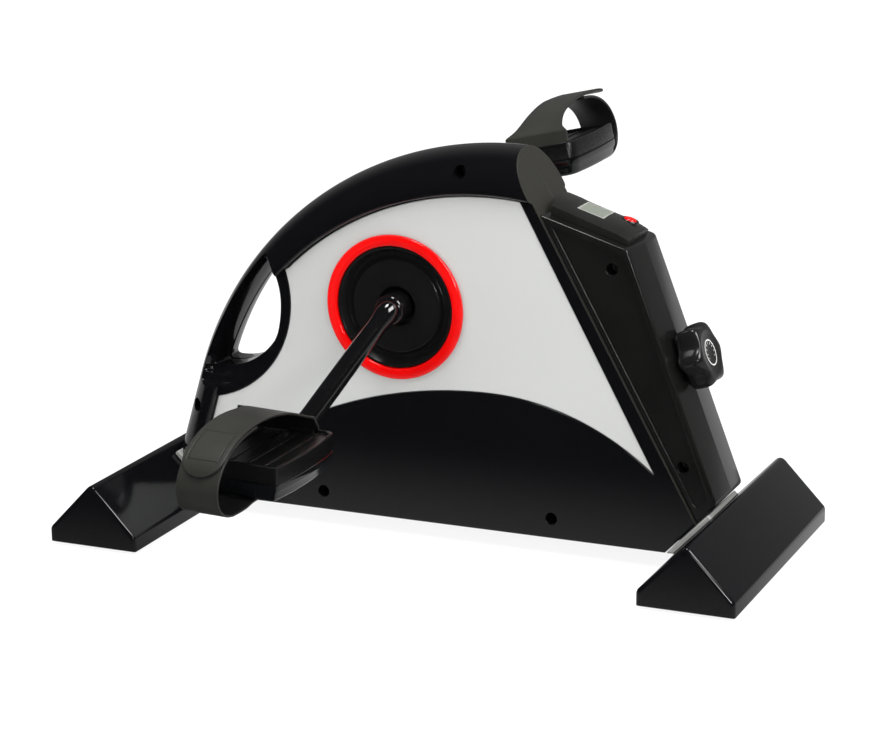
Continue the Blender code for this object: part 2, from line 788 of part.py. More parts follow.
def box_outline(distance=0.0):
    """The console box in the side view: foot slope below, leaning front, slanted top, crest plane behind."""
    back = np.array([SWEEP_BACK * distance, 0])
    slope_point, slope_along = foot_slope_line(1, FOOT_CLEARANCE)
    rear, front = BOX_REAR - back, BOX_FRONT - back
    return [
        meeting(slope_point, slope_along, rear, CREST_DIRECTION),
        meeting(slope_point, slope_along, front, BOX_FRONT_DIRECTION),
        meeting(BOX_FRONT, BOX_TOP_DIRECTION, front, BOX_FRONT_DIRECTION),
        meeting(BOX_FRONT, BOX_TOP_DIRECTION, rear, CREST_DIRECTION),
    ]


def box_cover(side):
    """One half of the console box: a shell open at the back, with a folded front and a recessed side."""
    name = f"{side_name(side)}_box_cover"
    cover = place(name, carried(box_outline, side, (SEAM, BOX_HALF)), "gloss_black")
    open_back = (-WALL, -WALL, -WALL, 2 * WALL)
    inside = carried(lambda d: moved_edges(box_outline(d), open_back), side, (-WALL, BOX_HALF - 2 * WALL))
    cut(cover, inside)
    for x, z in BOX_SCREWS.values():
        join(cover, screw_boss(side, x, z, SEAM, BOX_HALF - WALL))
    rims = (-BOX_FOOT_RIM, -BOX_RIM, -BOX_RIM, -BOX_RIM)
    recess = moved_edges(box_outline(BOX_HALF), rims)
    cut(cover, prism(recess, side * (BOX_HALF - BOX_SIDE_RECESS), side * 0.05))
    knob_at, towards = knob_axis()
    cut(cover, rod(KNOB_SHAFT_RADIUS + RUNNING_FIT, -0.02, 0.02, knob_at, towards))
    for x, z in BOX_SCREWS.values():
        cut(cover, screw_hole(side, x, z, SCREW_SEAT) if side < 0 else pilot_hole(x, z))
    return cover


def shell_screw(name, x, z):
    """A socket screw in the left shell, its shank in the right shell or in the frame's rail."""
    start = boss_start(z)
    seat = max(SCREW_SEAT, start + WALL) + GAP
    reach = -SCREW_REACH if start == SEAM else RAIL_WIDTH / 2 - TUBE_WALL - WALL
    head = SCREW_HEAD_RADIUS
    top = seat + SCREW_HEAD_HEIGHT
    socket = head * 0.45
    profile = [(SCREW_SHANK_RADIUS, reach), (SCREW_SHANK_RADIUS, seat), (head, seat), (head, top - 0.0006)]
    profile += [(head * 0.8, top), (socket, top), (socket, top - 0.0013)]
    return place(name, turned(profile, (x, 0, z), (0, -1, 0), 10), "zinc")


# Feet and frame


def foot_section(inset, floor):
    """A foot across its length: flat floor, short sides, two slopes and a rounded ridge."""
    half = FOOT_HALF - inset
    slope = math.radians(FOOT_SLOPE)
    ridge = FOOT_RIDGE - inset / math.cos(slope)
    shoulder = ridge - half * math.tan(slope)
    top = np.array([0, ridge])
    reach = (FOOT_RIDGE_RADIUS if inset < FOOT_WALL else FOOT_RIDGE_RADIUS / 2) * direction(FOOT_SLOPE)
    right, left = top + reach * np.array([1, -1]), top - reach
    curve = [(1 - t) ** 2 * right + 2 * t * (1 - t) * top + t * t * left for t in np.linspace(0, 1, 5)]
    return [(-half, floor), (half, floor), (half, shoulder), *curve, (-half, shoulder)]


def foot_saddle(side_x):
    """The slab on the foot's inner slope, which carries the housing's inclined end."""
    inside, along = foot_slope_line(side_x, -FOOT_WALL / 3)
    outside, _ = foot_slope_line(side_x, FOOT_CLEARANCE - 2 * GAP)
    floor = (0, HOUSING_FLOOR)
    low = [meeting(floor, (1, 0), line, along) for line in (inside, outside)]
    high = [line - along * SADDLE_END for line in (inside, outside)]
    return prism([low[0], high[0], high[1], low[1]], -HOUSING_HALF + GAP, HOUSING_HALF - GAP)


def foot_cover(side_x, name, length):
    """A foot's plastic cover: a prism shell open below, with the housing's saddle and a notch for the rail."""
    end = length / 2
    loops = []
    for y, shrink in ((-end, FOOT_EDGE), (-end + FOOT_EDGE, 0), (end - FOOT_EDGE, 0), (end, FOOT_EDGE)):
        loops.append([(side_x * FOOT_X + x, y, z) for x, z in foot_section(shrink, PAD_HEIGHT)])
    cover = place(name, skin(loops), "gloss_black")
    join(cover, foot_saddle(side_x))
    inner = [(side_x * FOOT_X + x, z) for x, z in foot_section(FOOT_WALL, -PAD_HEIGHT)]
    cut(cover, prism(inner, -end + FOOT_WALL, end - FOOT_WALL))
    notch_half = RAIL_WIDTH / 2 + GAP
    xs = sorted((side_x * (FOOT_X - FOOT_WIDTH), side_x * FOOT_X))
    cut(cover, block((xs[0], -notch_half, -PAD_HEIGHT), (xs[1], notch_half, RAIL_TOP + GAP)))
    return cover


def foot_bar(side_x, name, length):
    """The square steel tube inside a foot, open at both ends."""
    x = side_x * FOOT_X
    low = PAD_HEIGHT + GAP
    half = BAR_WIDTH / 2
    outer = [(x - half, low), (x + half, low), (x + half, low + BAR_HEIGHT), (x - half, low + BAR_HEIGHT)]
    inner = offset(outer, -TUBE_WALL)
    reach = length / 2 - FOOT_WALL - GAP
    bar = place(name, tube_prism(outer, inner, -reach, reach), "painted_steel")
    hole = rod(FOOT_BOLT_RADIUS + GAP, low - 0.001, low + BAR_HEIGHT + 0.001, (x, 0, 0), (0, 0, 1), 16)
    cut(bar, hole)
    return bar


def foot_pad(side_x, side_y, name, length):
    """A rubber pad under one end of a foot: a sole on the floor, and a lug up beside the bar."""
    x = side_x * FOOT_X
    y = side_y * (length / 2 - PAD_INSET - PAD_LENGTH / 2)
    half = PAD_WIDTH / 2
    sole = block((x - half, y - PAD_LENGTH / 2, 0), (x + half, y + PAD_LENGTH / 2, PAD_HEIGHT))
    pad = place(name, sole, "rubber")
    for side in (-1, 1):
        near, far = BAR_WIDTH / 2 + GAP, half - 0.0005
        xs = sorted((x + side * near, x + side * far))
        top = PAD_HEIGHT + BAR_HEIGHT / 2
        join(pad, block((xs[0], y - PAD_LENGTH / 3, PAD_HEIGHT / 2), (xs[1], y + PAD_LENGTH / 3, top)))
    return pad


def foot_bolt(side_x, name):
    """The bolt that holds a foot's bar under the end of the rail."""
    x = side_x * FOOT_X
    low = PAD_HEIGHT + GAP
    head = FOOT_BOLT_RADIUS * 1.7
    top = RAIL_TOP + GAP
    profile = [
        (FOOT_BOLT_RADIUS, low + TUBE_WALL),
        (FOOT_BOLT_RADIUS, top),
        (head, top),
        (head, top + 0.0035),
        (head * 0.8, top + 0.0045),
    ]
    return place(name, turned(profile, (x, 0, 0), (0, 0, 1), 12), "zinc")


CRANK_AT = (CRANK_X, 0, CRANK_Z)
FLYWHEEL_AT = (FLYWHEEL_X, 0, FLYWHEEL_Z)
PIN_AT = (PIN_X, 0, PIN_Z)
POST_HALF = RAIL_WIDTH / 2
SHELL_TUBE = BEARING_RADIUS + GAP + SHELL_TUBE_WALL
TUBE_LEFT = PULLEY_IN - 2 * GAP
TUBE_RIGHT = 0.0240
FORK_OUT = POST_HALF - GAP
FORK_IN = FORK_OUT - PLATE
BRACKET_HALF = FORK_IN - GAP
PIVOT_EAR = 0.0085


def fork_plate(side):
    """One cheek plate: up to the flywheel's shaft, and an ear for the brake's pin."""
    eye = SMALL_BEARING_RADIUS + 0.0045
    low = RAIL_TOP - TUBE_WALL / 2
    outline = [
        (FLYWHEEL_X - 0.035, low),
        (PIN_X + PIVOT_EAR, low),
        *arc((PIN_X, PIN_Z), PIVOT_EAR, 0, 100, 5),
        (FLYWHEEL_X + 0.034, PIN_Z - 0.006),
        *arc((FLYWHEEL_X, FLYWHEEL_Z), eye, 20, 170, 8),
    ]
    return prism(outline, side * FORK_IN, side * FORK_OUT)


def main_frame():
    """The welded steel frame: rail between the feet, post with the crank's tube, and the flywheel's fork."""
    end = FOOT_X + BAR_WIDTH / 3
    half = RAIL_WIDTH / 2
    outer = [(-half, RAIL_FLOOR), (half, RAIL_FLOOR), (half, RAIL_TOP), (-half, RAIL_TOP)]
    inner = offset(outer, -TUBE_WALL)
    ends = ((outer, -end), (outer, end), (inner, end), (inner, -end))
    loops = [[(x, y, z) for y, z in line] for line, x in ends]
    frame = place("main_frame", skin(loops, ring=True), "painted_steel")
    post_half = POST_LENGTH / 2
    post = block(
        (CRANK_X - post_half, -POST_HALF + GAP, RAIL_TOP - TUBE_WALL / 2),
        (CRANK_X + post_half, POST_HALF - GAP, CRANK_Z - SHELL_TUBE * 0.6),
    )
    join(frame, post)
    join(frame, rod(SHELL_TUBE, -TUBE_LEFT, TUBE_RIGHT, CRANK_AT, (0, 1, 0)))
    join(frame, fork_plate(-1), fork_plate(1))
    cut(frame, rod(BEARING_RADIUS + GAP, -TUBE_LEFT - 0.001, BEARING_WIDTH - TUBE_LEFT, CRANK_AT, (0, 1, 0)))
    cut(frame, rod(BEARING_RADIUS + GAP, TUBE_RIGHT - BEARING_WIDTH, TUBE_RIGHT + 0.001, CRANK_AT, (0, 1, 0)))
    cut(frame, rod(AXLE_RADIUS + 0.0015, -0.04, 0.04, CRANK_AT, (0, 1, 0), 12))
    cut(frame, rod(SMALL_BEARING_RADIUS + GAP, -0.04, 0.04, FLYWHEEL_AT, (0, 1, 0)))
    cut(frame, rod(PIN_RADIUS + GAP, -0.04, 0.04, PIN_AT, (0, 1, 0), 16))
    for side_x in (-1, 1):
        at = (side_x * FOOT_X, 0, 0)
        cut(frame, rod(FOOT_BOLT_RADIUS + GAP, RAIL_FLOOR - 0.01, RAIL_TOP + 0.01, at, (0, 0, 1), 12))
    for x, z in HOUSING_SCREWS.values():
        if boss_start(z) != SEAM:
            radius = SCREW_SHANK_RADIUS + GAP
            cut(frame, rod(radius, half - 2 * TUBE_WALL, half + 0.001, (x, 0, z), (0, -1, 0), 8))
    return frame


def bearing(name, at, low, outer, inner, width, steps):
    """A ball bearing as one ring."""
    high = low + width
    profile = [(inner, low), (outer, low), (outer, high), (inner, high)]
    return place(name, turned(profile, at, (0, 1, 0), steps, hollow=True), "steel")


# Crank and pedals


def crank_end():
    return np.array([CRANK_X, CRANK_Z]) + CRANK_LENGTH * direction(CRANK_ANGLE)


def crank_point(side, share, y):
    """A point of one arm in the crank's own frame: share of the crank's length, and distance from the middle."""
    x, z = CRANK_LENGTH * share * direction(CRANK_ANGLE) * (-side)
    return (x, side * y, z)


def crank_axle(crank):
    """The steel axle, thick between its bearings, with a narrower seat for each arm."""
    half = [
        (AXLE_RADIUS, HUB_IN - GAP),
        (AXLE_END_RADIUS, HUB_IN - GAP),
        (AXLE_END_RADIUS, HUB_OUT - HUB_CAP),
    ]
    profile = [(r, -h) for r, h in reversed(half)] + half
    return place("crank_axle", turned(profile, (0, 0, 0), (0, 1, 0), AXLE_STEPS), "steel", crank)


def crank_arm(side, crank):
    """A bent steel rod from the hub, outwards and down to the pedal, with a boss at each end."""
    name = f"{side_name(side)}_crank_arm"
    corners = [
        crank_point(side, 0, HUB_IN + 0.003),
        crank_point(side, 0, HUB_OUT - 0.001),
        crank_point(side, 1, ARM_END_IN + 0.004),
        crank_point(side, 1, ARM_END_OUT - 0.001),
    ]
    path = bent(corners, ROD_BEND, 4)
    level = Vector(crank_point(side, 1, 0)).cross(Vector((0, 1, 0)))
    circle = [ROD_RADIUS * direction(a) for a in range(15, 375, 30)]
    arm = place(name, swept(path, circle, level), "gloss_black", crank)
    outward = (0, side, 0)
    hub = [
        (HUB_RADIUS, HUB_IN),
        (HUB_RADIUS, HUB_OUT - ARM_EDGE),
        (HUB_RADIUS - ARM_EDGE, HUB_OUT),
    ]
    join(arm, turned(hub, (0, 0, 0), outward))
    end = crank_point(side, 1, 0)
    boss = [
        (ARM_END_RADIUS - ARM_EDGE, ARM_END_IN),
        (ARM_END_RADIUS, ARM_END_IN + ARM_EDGE),
        (ARM_END_RADIUS, ARM_END_OUT - ARM_EDGE),
        (ARM_END_RADIUS - ARM_EDGE, ARM_END_OUT),
    ]
    join(arm, turned(boss, end, outward))
    cut(arm, rod(AXLE_END_RADIUS + GAP, HUB_IN - 0.002, HUB_OUT - HUB_CAP + GAP, (0, 0, 0), outward))
    return cut(arm, rod(SPINDLE_RADIUS + GAP, SPINDLE_IN - 2 * GAP, ARM_END_OUT + 0.002, end, outward))


def drive_pulley(crank):
    """The big belt pulley on the axle: a hub, a thin web with round holes, and a plain rim."""
    low, high = -PULLEY_IN - PULLEY_WIDTH, -PULLEY_IN
    bore = AXLE_RADIUS + GAP
    hub = AXLE_RADIUS + 0.0105
    rim = PULLEY_RADIUS - 0.008
    web_low, web_high = low + PULLEY_WIDTH * 0.35, low + PULLEY_WIDTH * 0.65
    tread = PULLEY_RADIUS
    profile = [(bore, low), (hub, low), (hub, web_low), (rim, web_low), (rim, low), (tread, low)]
    profile += [(tread, high), (rim, high), (rim, web_high), (hub, web_high), (hub, high), (bore, high)]
    solid = turned(profile, (0, 0, 0), (0, 1, 0), RING_STEPS, hollow=True)
    pulley = place("drive_pulley", solid, "matte_black", crank)
    middle = (hub + rim) / 2
    for k in range(5):
        x, z = middle * direction(72 * k)
        cut(pulley, rod((rim - hub) * 0.34, -0.06, 0.0, (x, 0, z), (0, 1, 0), 8))
    return pulley


BELT_LOW = -PULLEY_IN - PULLEY_WIDTH * 0.84
BELT_HIGH = -PULLEY_IN - PULLEY_WIDTH * 0.16


def drive_belt():
    """The flat ribbed belt round the big pulley and the flywheel's small pulley."""
    big = np.array([CRANK_X, CRANK_Z])
    small = np.array([FLYWHEEL_X, FLYWHEEL_Z])
    away = small - big
    heading = math.degrees(math.atan2(away[1], away[0]))

    def loop(extra):
        r1 = PULLEY_RADIUS + GAP + extra
        r2 = SMALL_PULLEY_RADIUS + GAP + extra
        lean = math.degrees(math.acos((r1 - r2) / np.linalg.norm(away)))
        round_big = arc(big, r1, heading + lean, heading + 360 - lean, 28)
        return round_big + arc(small, r2, heading - lean, heading + lean, 6)

    return place("drive_belt", tube_prism(loop(BELT_THICKNESS), loop(0), BELT_LOW, BELT_HIGH), "rubber")


def flywheel(wheel):
    """The steel flywheel: heavy rim, thin web and a hub on the shaft."""
    half = FLYWHEEL_WIDTH / 2
    web = FLYWHEEL_WEB / 2
    rim = FLYWHEEL_RADIUS - FLYWHEEL_RIM
    hub = 0.012
    bore = SHAFT_RADIUS + GAP
    top = [(bore, half), (hub, half), (hub, web), (rim, web), (rim, half), (FLYWHEEL_RADIUS, half)]
    profile = top + [(r, -h) for r, h in reversed(top)]
    return place("flywheel", turned(profile, (0, 0, 0), (0, 1, 0), RING_STEPS, hollow=True), "steel", wheel)


def flywheel_shaft(wheel):
    """The flywheel's turned shaft, with the small belt pulley on its left end."""
    right = FORK_OUT + 0.003
    flange = SMALL_PULLEY_RADIUS + 0.002
    profile = [
        (SHAFT_RADIUS, -PULLEY_IN - PULLEY_WIDTH - 0.002),
        (SHAFT_RADIUS, -PULLEY_IN - PULLEY_WIDTH),
        (flange, -PULLEY_IN - PULLEY_WIDTH),
        (flange, BELT_LOW - GAP),
        (SMALL_PULLEY_RADIUS, BELT_LOW - GAP),
        (SMALL_PULLEY_RADIUS, BELT_HIGH + GAP),
        (flange, BELT_HIGH + GAP),
        (flange, -PULLEY_IN - GAP),
        (SHAFT_RADIUS, -PULLEY_IN - GAP),
        (SHAFT_RADIUS, right),
    ]
    return place("flywheel_shaft", turned(profile, (0, 0, 0), (0, 1, 0)), "steel", wheel)


def knob_axis():
    """The point where the knob's axis meets the box's front, and the axis's outward direction."""
    down = (BOX_FRONT_Z - KNOB_HEIGHT) / math.cos(math.radians(BOX_FRONT_LEAN))
    at = BOX_FRONT + BOX_FRONT_DIRECTION * down
    return (at[0], 0, at[1]), (BOX_FRONT_NORMAL[0], 0, BOX_FRONT_NORMAL[1])


def lobed(radius, waist, steps=42):
    angles = np.linspace(0, 2 * math.pi, steps, endpoint=False)
    return [(radius - waist * (0.5 - 0.5 * math.cos(KNOB_LOBES * a)), a) for a in angles]


def tension_knob(pivot):
    """The lobed hand knob, with its shaft through the box's front."""
    _, towards = knob_axis()
    frame = Vector(towards).to_track_quat("Z", "Y").to_matrix().to_4x4()
    loops = []
    for height, share, waist in KNOB_LEVELS:
        rim = lobed(KNOB_RADIUS * share, KNOB_WAIST * waist)
        loops.append([frame @ Vector((r * math.cos(a), r * math.sin(a), height)) for r, a in rim])
    knob = place("tension_knob", skin(loops), "matte_black", pivot)
    return join(knob, rod(KNOB_SHAFT_RADIUS, -0.010, 0.003, (0, 0, 0), towards))


# Height above the box's front, share of the radius, and share of the waist between the lobes
KNOB_LEVELS = [
    (0.0012, 0.84, 1.0),
    (0.0050, 0.98, 1.0),
    (0.0150, 1.0, 1.0),
    (0.0190, 0.95, 0.8),
    (KNOB_TALL, 0.84, 0.3),
]


def cam_height(turn):
    """How far the cam's working face stands behind the box's front, at an angle from the rest contact."""
    turn %= 360
    back = CAM_BACK + cam_rise() * min(turn / CAM_TURN, 1.0)
    if turn > CAM_TURN + 12:
        back -= cam_rise() * min((turn - CAM_TURN - 12) / 24, 1.0)
    return -back


def knob_cam(pivot):
    """The face cam on the knob's shaft: its helical face presses the brake's follower as the knob turns."""
    _, towards = knob_axis()
    frame = Vector(towards).to_track_quat("Z", "Y").to_matrix().to_4x4()
    contact = frame.inverted() @ Vector((-follower_side()[0], 0, -follower_side()[1]))
    contact_angle = math.degrees(math.atan2(contact[1], contact[0]))
    angles = np.arange(0, 360, 12)
    bore = KNOB_SHAFT_RADIUS + GAP
    loops = []
    for radius, working in ((bore, False), (CAM_RADIUS, False), (CAM_RADIUS, True), (bore, True)):
        loop = []
        for a in angles:
            height = cam_height(contact_angle - a) if working else -WALL - CAM_FRONT
            x, y = radius * direction(a)
            loop.append(frame @ Vector((x, y, height)))
        loops.append(loop)
    return place("knob_cam", skin(loops, ring=True), "matte_black", pivot)


def follower_side():
    """The direction across the knob's axis, away from the side on which the follower touches the cam."""
    return np.array([-BOX_FRONT_NORMAL[1], BOX_FRONT_NORMAL[0]])


def pressed_follower():
    """The follower's tip with the knob turned fully, from the brake's pin, but level with the cam's lowest face."""
    at, _ = knob_axis()
    on_axis = np.array([at[0] - PIN_X, at[2] - PIN_Z])
    return on_axis - follower_side() * CAM_FOLLOWER - BOX_FRONT_NORMAL * (CAM_BACK + GAP)


def swung(points):
    """Side view points about the pin, turned from the pressed brake to the brake at rest."""
    c, s = direction(-BRACKET_SWING)
    return [(c * x - s * z, s * x + c * z) for x, z in points]


def cam_rise():
    """How far the cam has to lift, so that the bracket swings all its way."""
    pressed = pressed_follower()
    return float(np.dot(swung([pressed])[0] - pressed, BOX_FRONT_NORMAL))


def rim_arc(radius, start, end):
    """An arc round the flywheel, from the brake's pin, with the brake at rest."""
    at = np.array([FLYWHEEL_X - PIN_X, FLYWHEEL_Z - PIN_Z])
    return swung(arc(at, radius, start, end, 7))


def brake_bracket(pivot):
    """The pivoted sheet steel bracket that carries the magnets, with ears on the pin and a tongue to the cam."""
    inner = FLYWHEEL_RADIUS + BRAKE_GAP + MAGNET_THICKNESS + GAP
    outer = inner + BRACKET_SHEET
    web_half = BRACKET_HALF - BRACKET_SHEET / 2
    web = rim_arc(outer, BRACKET_START, BRACKET_END) + rim_arc(inner, BRACKET_END, BRACKET_START)
    bracket = place("brake_bracket", prism(web, -web_half, web_half), "zinc", pivot)
    for side in (-1, 1):
        outline = [
            *arc((0, 0), PIN_RADIUS + BRACKET_FLANGE, 200, 360, 6),
            *rim_arc(outer + BRACKET_FLANGE, BRACKET_START + 6, BRACKET_END + 1),
            *rim_arc(outer - BRACKET_SHEET / 2, BRACKET_END + 1, BRACKET_START + 1),
        ]
        join(bracket, prism(outline, side * (BRACKET_HALF - BRACKET_SHEET), side * BRACKET_HALF))
    tip = np.array(swung([pressed_follower() - BOX_FRONT_NORMAL * cam_rise()])[0])
    root = tip - BOX_FRONT_NORMAL * 0.006
    start = np.array(rim_arc((inner + outer) / 2, BRACKET_END - 3, BRACKET_END)[0])
    along = (root - start) / np.linalg.norm(root - start)
    across = np.array([-along[1], along[0]]) * BRACKET_SHEET / 2
    end = root + along * FOLLOWER_RADIUS * 1.5
    tongue = [start - across, end - across, end + across, start + across]
    join(bracket, prism(tongue, -TONGUE_HALF, TONGUE_HALF))
    towards = (BOX_FRONT_NORMAL[0], 0, BOX_FRONT_NORMAL[1])
    nub = [(FOLLOWER_RADIUS, -0.006), (FOLLOWER_RADIUS, -0.0006), (FOLLOWER_RADIUS * 0.5, 0.0)]
    join(bracket, turned(nub, (tip[0], 0, tip[1]), towards, 10))
    cut(bracket, rod(PIN_RADIUS + RUNNING_FIT, -0.04, 0.04, (0, 0, 0), (0, 1, 0)))
    return bracket


TONGUE_HALF = 0.004


def brake_magnets(pivot):
    """The curved row of magnets inside the bracket, facing the flywheel's rim."""
    inner = FLYWHEEL_RADIUS + BRAKE_GAP
    outer = inner + MAGNET_THICKNESS
    margin = 3.0
    start, end = BRACKET_START + margin, BRACKET_END - margin
    half = FLYWHEEL_WIDTH / 2
    solid = prism(rim_arc(outer, start, end) + rim_arc(inner, end, start), -half, half)
    return place("brake_magnets", solid, "magnet", pivot)


def brake_pin():
    """The pin across the frame's ears, with a head on the left."""
    out = FORK_OUT + 0.001
    head = PIN_RADIUS + 0.002
    profile = [(head, -out - 0.002), (head, -out), (PIN_RADIUS, -out), (PIN_RADIUS, out)]
    return place("brake_pin", turned(profile, PIN_AT, (0, 1, 0)), "zinc")


def return_spring():
    """The torsion spring round the pin, between the bracket's ears."""
    radius = PIN_RADIUS + GAP + SPRING_WIRE
    half = BRACKET_HALF - BRACKET_SHEET - 2 * SPRING_WIRE
    per_turn = 8
    count = SPRING_TURNS * per_turn
    path = []
    for k in range(count + 1):
        angle = 2 * math.pi * k / per_turn
        across = -half + 2 * half * k / count
        path.append((PIN_X + radius * math.cos(angle), across, PIN_Z + radius * math.sin(angle)))
    return wire("return_spring", path, SPRING_WIRE, "steel")


def wire(name, path, radius, finish, parent=None):
    """A round wire along the path, as a curve with filled ends."""
    curve = bpy.data.curves.new(name, "CURVE")
    curve.dimensions = "3D"
    curve.bevel_depth = radius
    curve.bevel_resolution = 0
    curve.use_fill_caps = True
    line = curve.splines.new("POLY")
    line.points.add(len(path) - 1)
    for point, place_at in zip(line.points, path):
        point.co = (*place_at, 1)
    curve.materials.append(finish_material(finish))
    piece = bpy.data.objects.new(name, curve)
    bpy.context.scene.collection.objects.link(piece)
    piece.parent = parent
    return piece


# Pedals, in their own frame: x along the foot, y outwards from the crank, z up


def pedal_plan(shrink):
    """A pedal from above: a bulged front, a square outer corner and a rounded inner one."""
    half = PEDAL_LENGTH / 2 - shrink
    wide = PEDAL_WIDTH / 2 - shrink
    radius = PEDAL_CORNER
    front = [(half + PEDAL_BULGE * (1 - t * t), wide * t) for t in np.linspace(-0.85, 1, 7)]
    inner_corner = arc((half - radius, -wide + radius), radius, 270, 340, 3)
    rear = [(-half + 0.004, wide), (-half, wide - 0.004), (-half, -wide + 0.006), (-half + 0.006, -wide)]
    return inner_corner + front + rear


def pedal_solid(side, levels):
    """A pedal half from its plan at a few levels of (z, shrink)."""
    return skin([[(x, side * y, z) for x, y in pedal_plan(shrink)] for z, shrink in levels])


def spindle_tool(side):
    end = PEDAL_WIDTH / 2 - SPINDLE_CAP
    return rod(SPINDLE_RADIUS + RUNNING_FIT, -PEDAL_WIDTH, end, (0, 0, 0), (0, side, 0))


def pedal_half(side, pedal, upper):
    """One moulding of a pedal: a shell with a spindle channel. The upper one carries the ribbed tread."""
    half = PEDAL_HEIGHT / 2
    sign = 1 if upper else -1
    split = sign * SEAM
    if upper:
        levels = [(split, 0.0), (half - 0.001, 0.0), (half, 0.001)]
    else:
        levels = [(-half, PEDAL_TAPER), (-half + 0.0015, PEDAL_TAPER - 0.0012)]
        levels += [(-half * 0.35, 0.0), (split, 0.0)]
    name = f"{side_name(side)}_pedal_{'top' if upper else 'base'}"
    piece = place(name, pedal_solid(side, levels), "matte_black" if upper else "gloss_black", pedal)
    channel = SPINDLE_RADIUS + GAP + WALL
    inside = PEDAL_TAPER + WALL
    for end in (-1, 1):
        low_x, high_x = sorted((end * channel, end * (PEDAL_LENGTH / 2 - inside)))
        z0, z1 = sorted((-sign * 0.002, sign * (half - 2 * WALL)))
        wide = PEDAL_WIDTH / 2 - inside
        cut(piece, block((low_x, -wide, z0), (high_x, wide, z1)))
    cut(piece, spindle_tool(side))
    if upper:
        cut(piece, pedal_solid(side, [(half - TRAY_DEPTH, TRAY_RIM), (half + 0.01, TRAY_RIM)]))
        slot = STRAP_THICKNESS / 2 + GAP
        seat = -PEDAL_WIDTH / 2 + STRAP_INSET
        ys = sorted((side * (seat - slot), side * (seat + slot)))
        low, high = STRAP_TONGUE[0] - GAP, STRAP_TONGUE[1] + GAP
        cut(piece, block((low, ys[0], half - STRAP_SLOT_DEPTH), (high, ys[1], half + 0.01)))
        pitch = (PEDAL_LENGTH - 4 * TRAY_RIM) / TREAD_COUNT
        for k in range(TREAD_COUNT):
            x = (k - (TREAD_COUNT - 1) / 2) * pitch
            wide = PEDAL_WIDTH / 2 - 3 * TRAY_RIM
            low = (x - TREAD_WIDTH / 2, -wide, half - TRAY_DEPTH - 0.0005)
            join(piece, block(low, (x + TREAD_WIDTH / 2, wide, half - TRAY_DEPTH * 0.35)))
    return piece


def pedal_spindle(side, crank):
    """The steel spindle, screwed into the arm's end, on which the pedal turns."""
    high = PEDAL_MIDDLE + PEDAL_WIDTH / 2 - SPINDLE_CAP - 2 * GAP
    profile = [
        (SPINDLE_RADIUS - 0.001, SPINDLE_IN),
        (SPINDLE_RADIUS, SPINDLE_IN + 0.001),
        (SPINDLE_RADIUS, high - 0.001),
        (SPINDLE_RADIUS - 0.001, high),
    ]
    at = crank_point(side, 1, 0)
    return place(f"{side_name(side)}_pedal_spindle", turned(profile, at, (0, side, 0)), "steel", crank)


PEDAL_HALF_WIDTH = PEDAL_WIDTH / 2
PEDAL_HALF_HEIGHT = PEDAL_HEIGHT / 2
# The widest reach of the inner strap layer at the pedal, behind and before the spindle, on each side
STRAP_FLARE = {-1: (-0.0290, 0.0275), 1: (-0.0165, 0.0370)}
# The line of the outer strap layer, as distance outwards and height from the pedal's middle
STRAP_LOOP = [
    (-PEDAL_HALF_WIDTH + 0.0055, PEDAL_HALF_HEIGHT + 0.0070),
    (-0.0300, 0.0245),
    (-0.0090, 0.0318),
    (0.0160, 0.0365),
    (0.0400, 0.0378),
    (0.0620, 0.0352),
    (0.0800, 0.0290),
    (0.0930, 0.0190),
    (0.0985, 0.0060),
    (0.0940, -0.0070),
    (0.0820, -0.0140),
    (0.0660, -0.0165),
]


def ribbon(side, stations, thickness, name, parent):
    """A flat strap. Each station is (y, z, lowest x, highest x), with y outwards from the crank."""
    loops = []
    for i, (y, z, x0, x1) in enumerate(stations):
        after = stations[min(i + 1, len(stations) - 1)]
        before = stations[max(i - 1, 0)]
        ahead = np.array([after[0] - before[0], after[1] - before[1]])
        ahead /= np.linalg.norm(ahead)
        up = np.array([-ahead[1], ahead[0]]) * thickness / 2
        corners = ((x0, -1), (x1, -1), (x1, 1), (x0, 1))
        loops.append([(x, side * (y + s * up[0]), z + s * up[1]) for x, s in corners])
    return place(name, skin(loops), "rubber", parent)


def moved_out(line, distance):
    """The line of (y, z) points moved to its outer side."""
    points = [np.array(p) for p in line]
    result = []
    for i, p in enumerate(points):
        ahead = points[min(i + 1, len(points) - 1)] - points[max(i - 1, 0)]
        ahead /= np.linalg.norm(ahead)
        result.append(p + distance * np.array([-ahead[1], ahead[0]]))
    return result


def strap_outer(side, pedal):
    """The lower strap layer: from the pedal's outer face, out and up in a wide loop, to over the foot."""
    loop = [tuple(p) for p in spline(STRAP_LOOP, 3)[12:]]
    seat = PEDAL_HALF_WIDTH + GAP + STRAP_THICKNESS / 2
    low = -PEDAL_HALF_HEIGHT
    tab = [(seat + 0.0045, low * 1.10), (seat + 0.0010, low * 0.85), (seat, low * 0.60), (seat, low * 0.15)]
    stations = [(y, z, STRAP_BACK, STRAP_FRONT) for y, z in loop + tab]
    return ribbon(side, stations, STRAP_THICKNESS, f"{side_name(side)}_strap_outer", pedal)


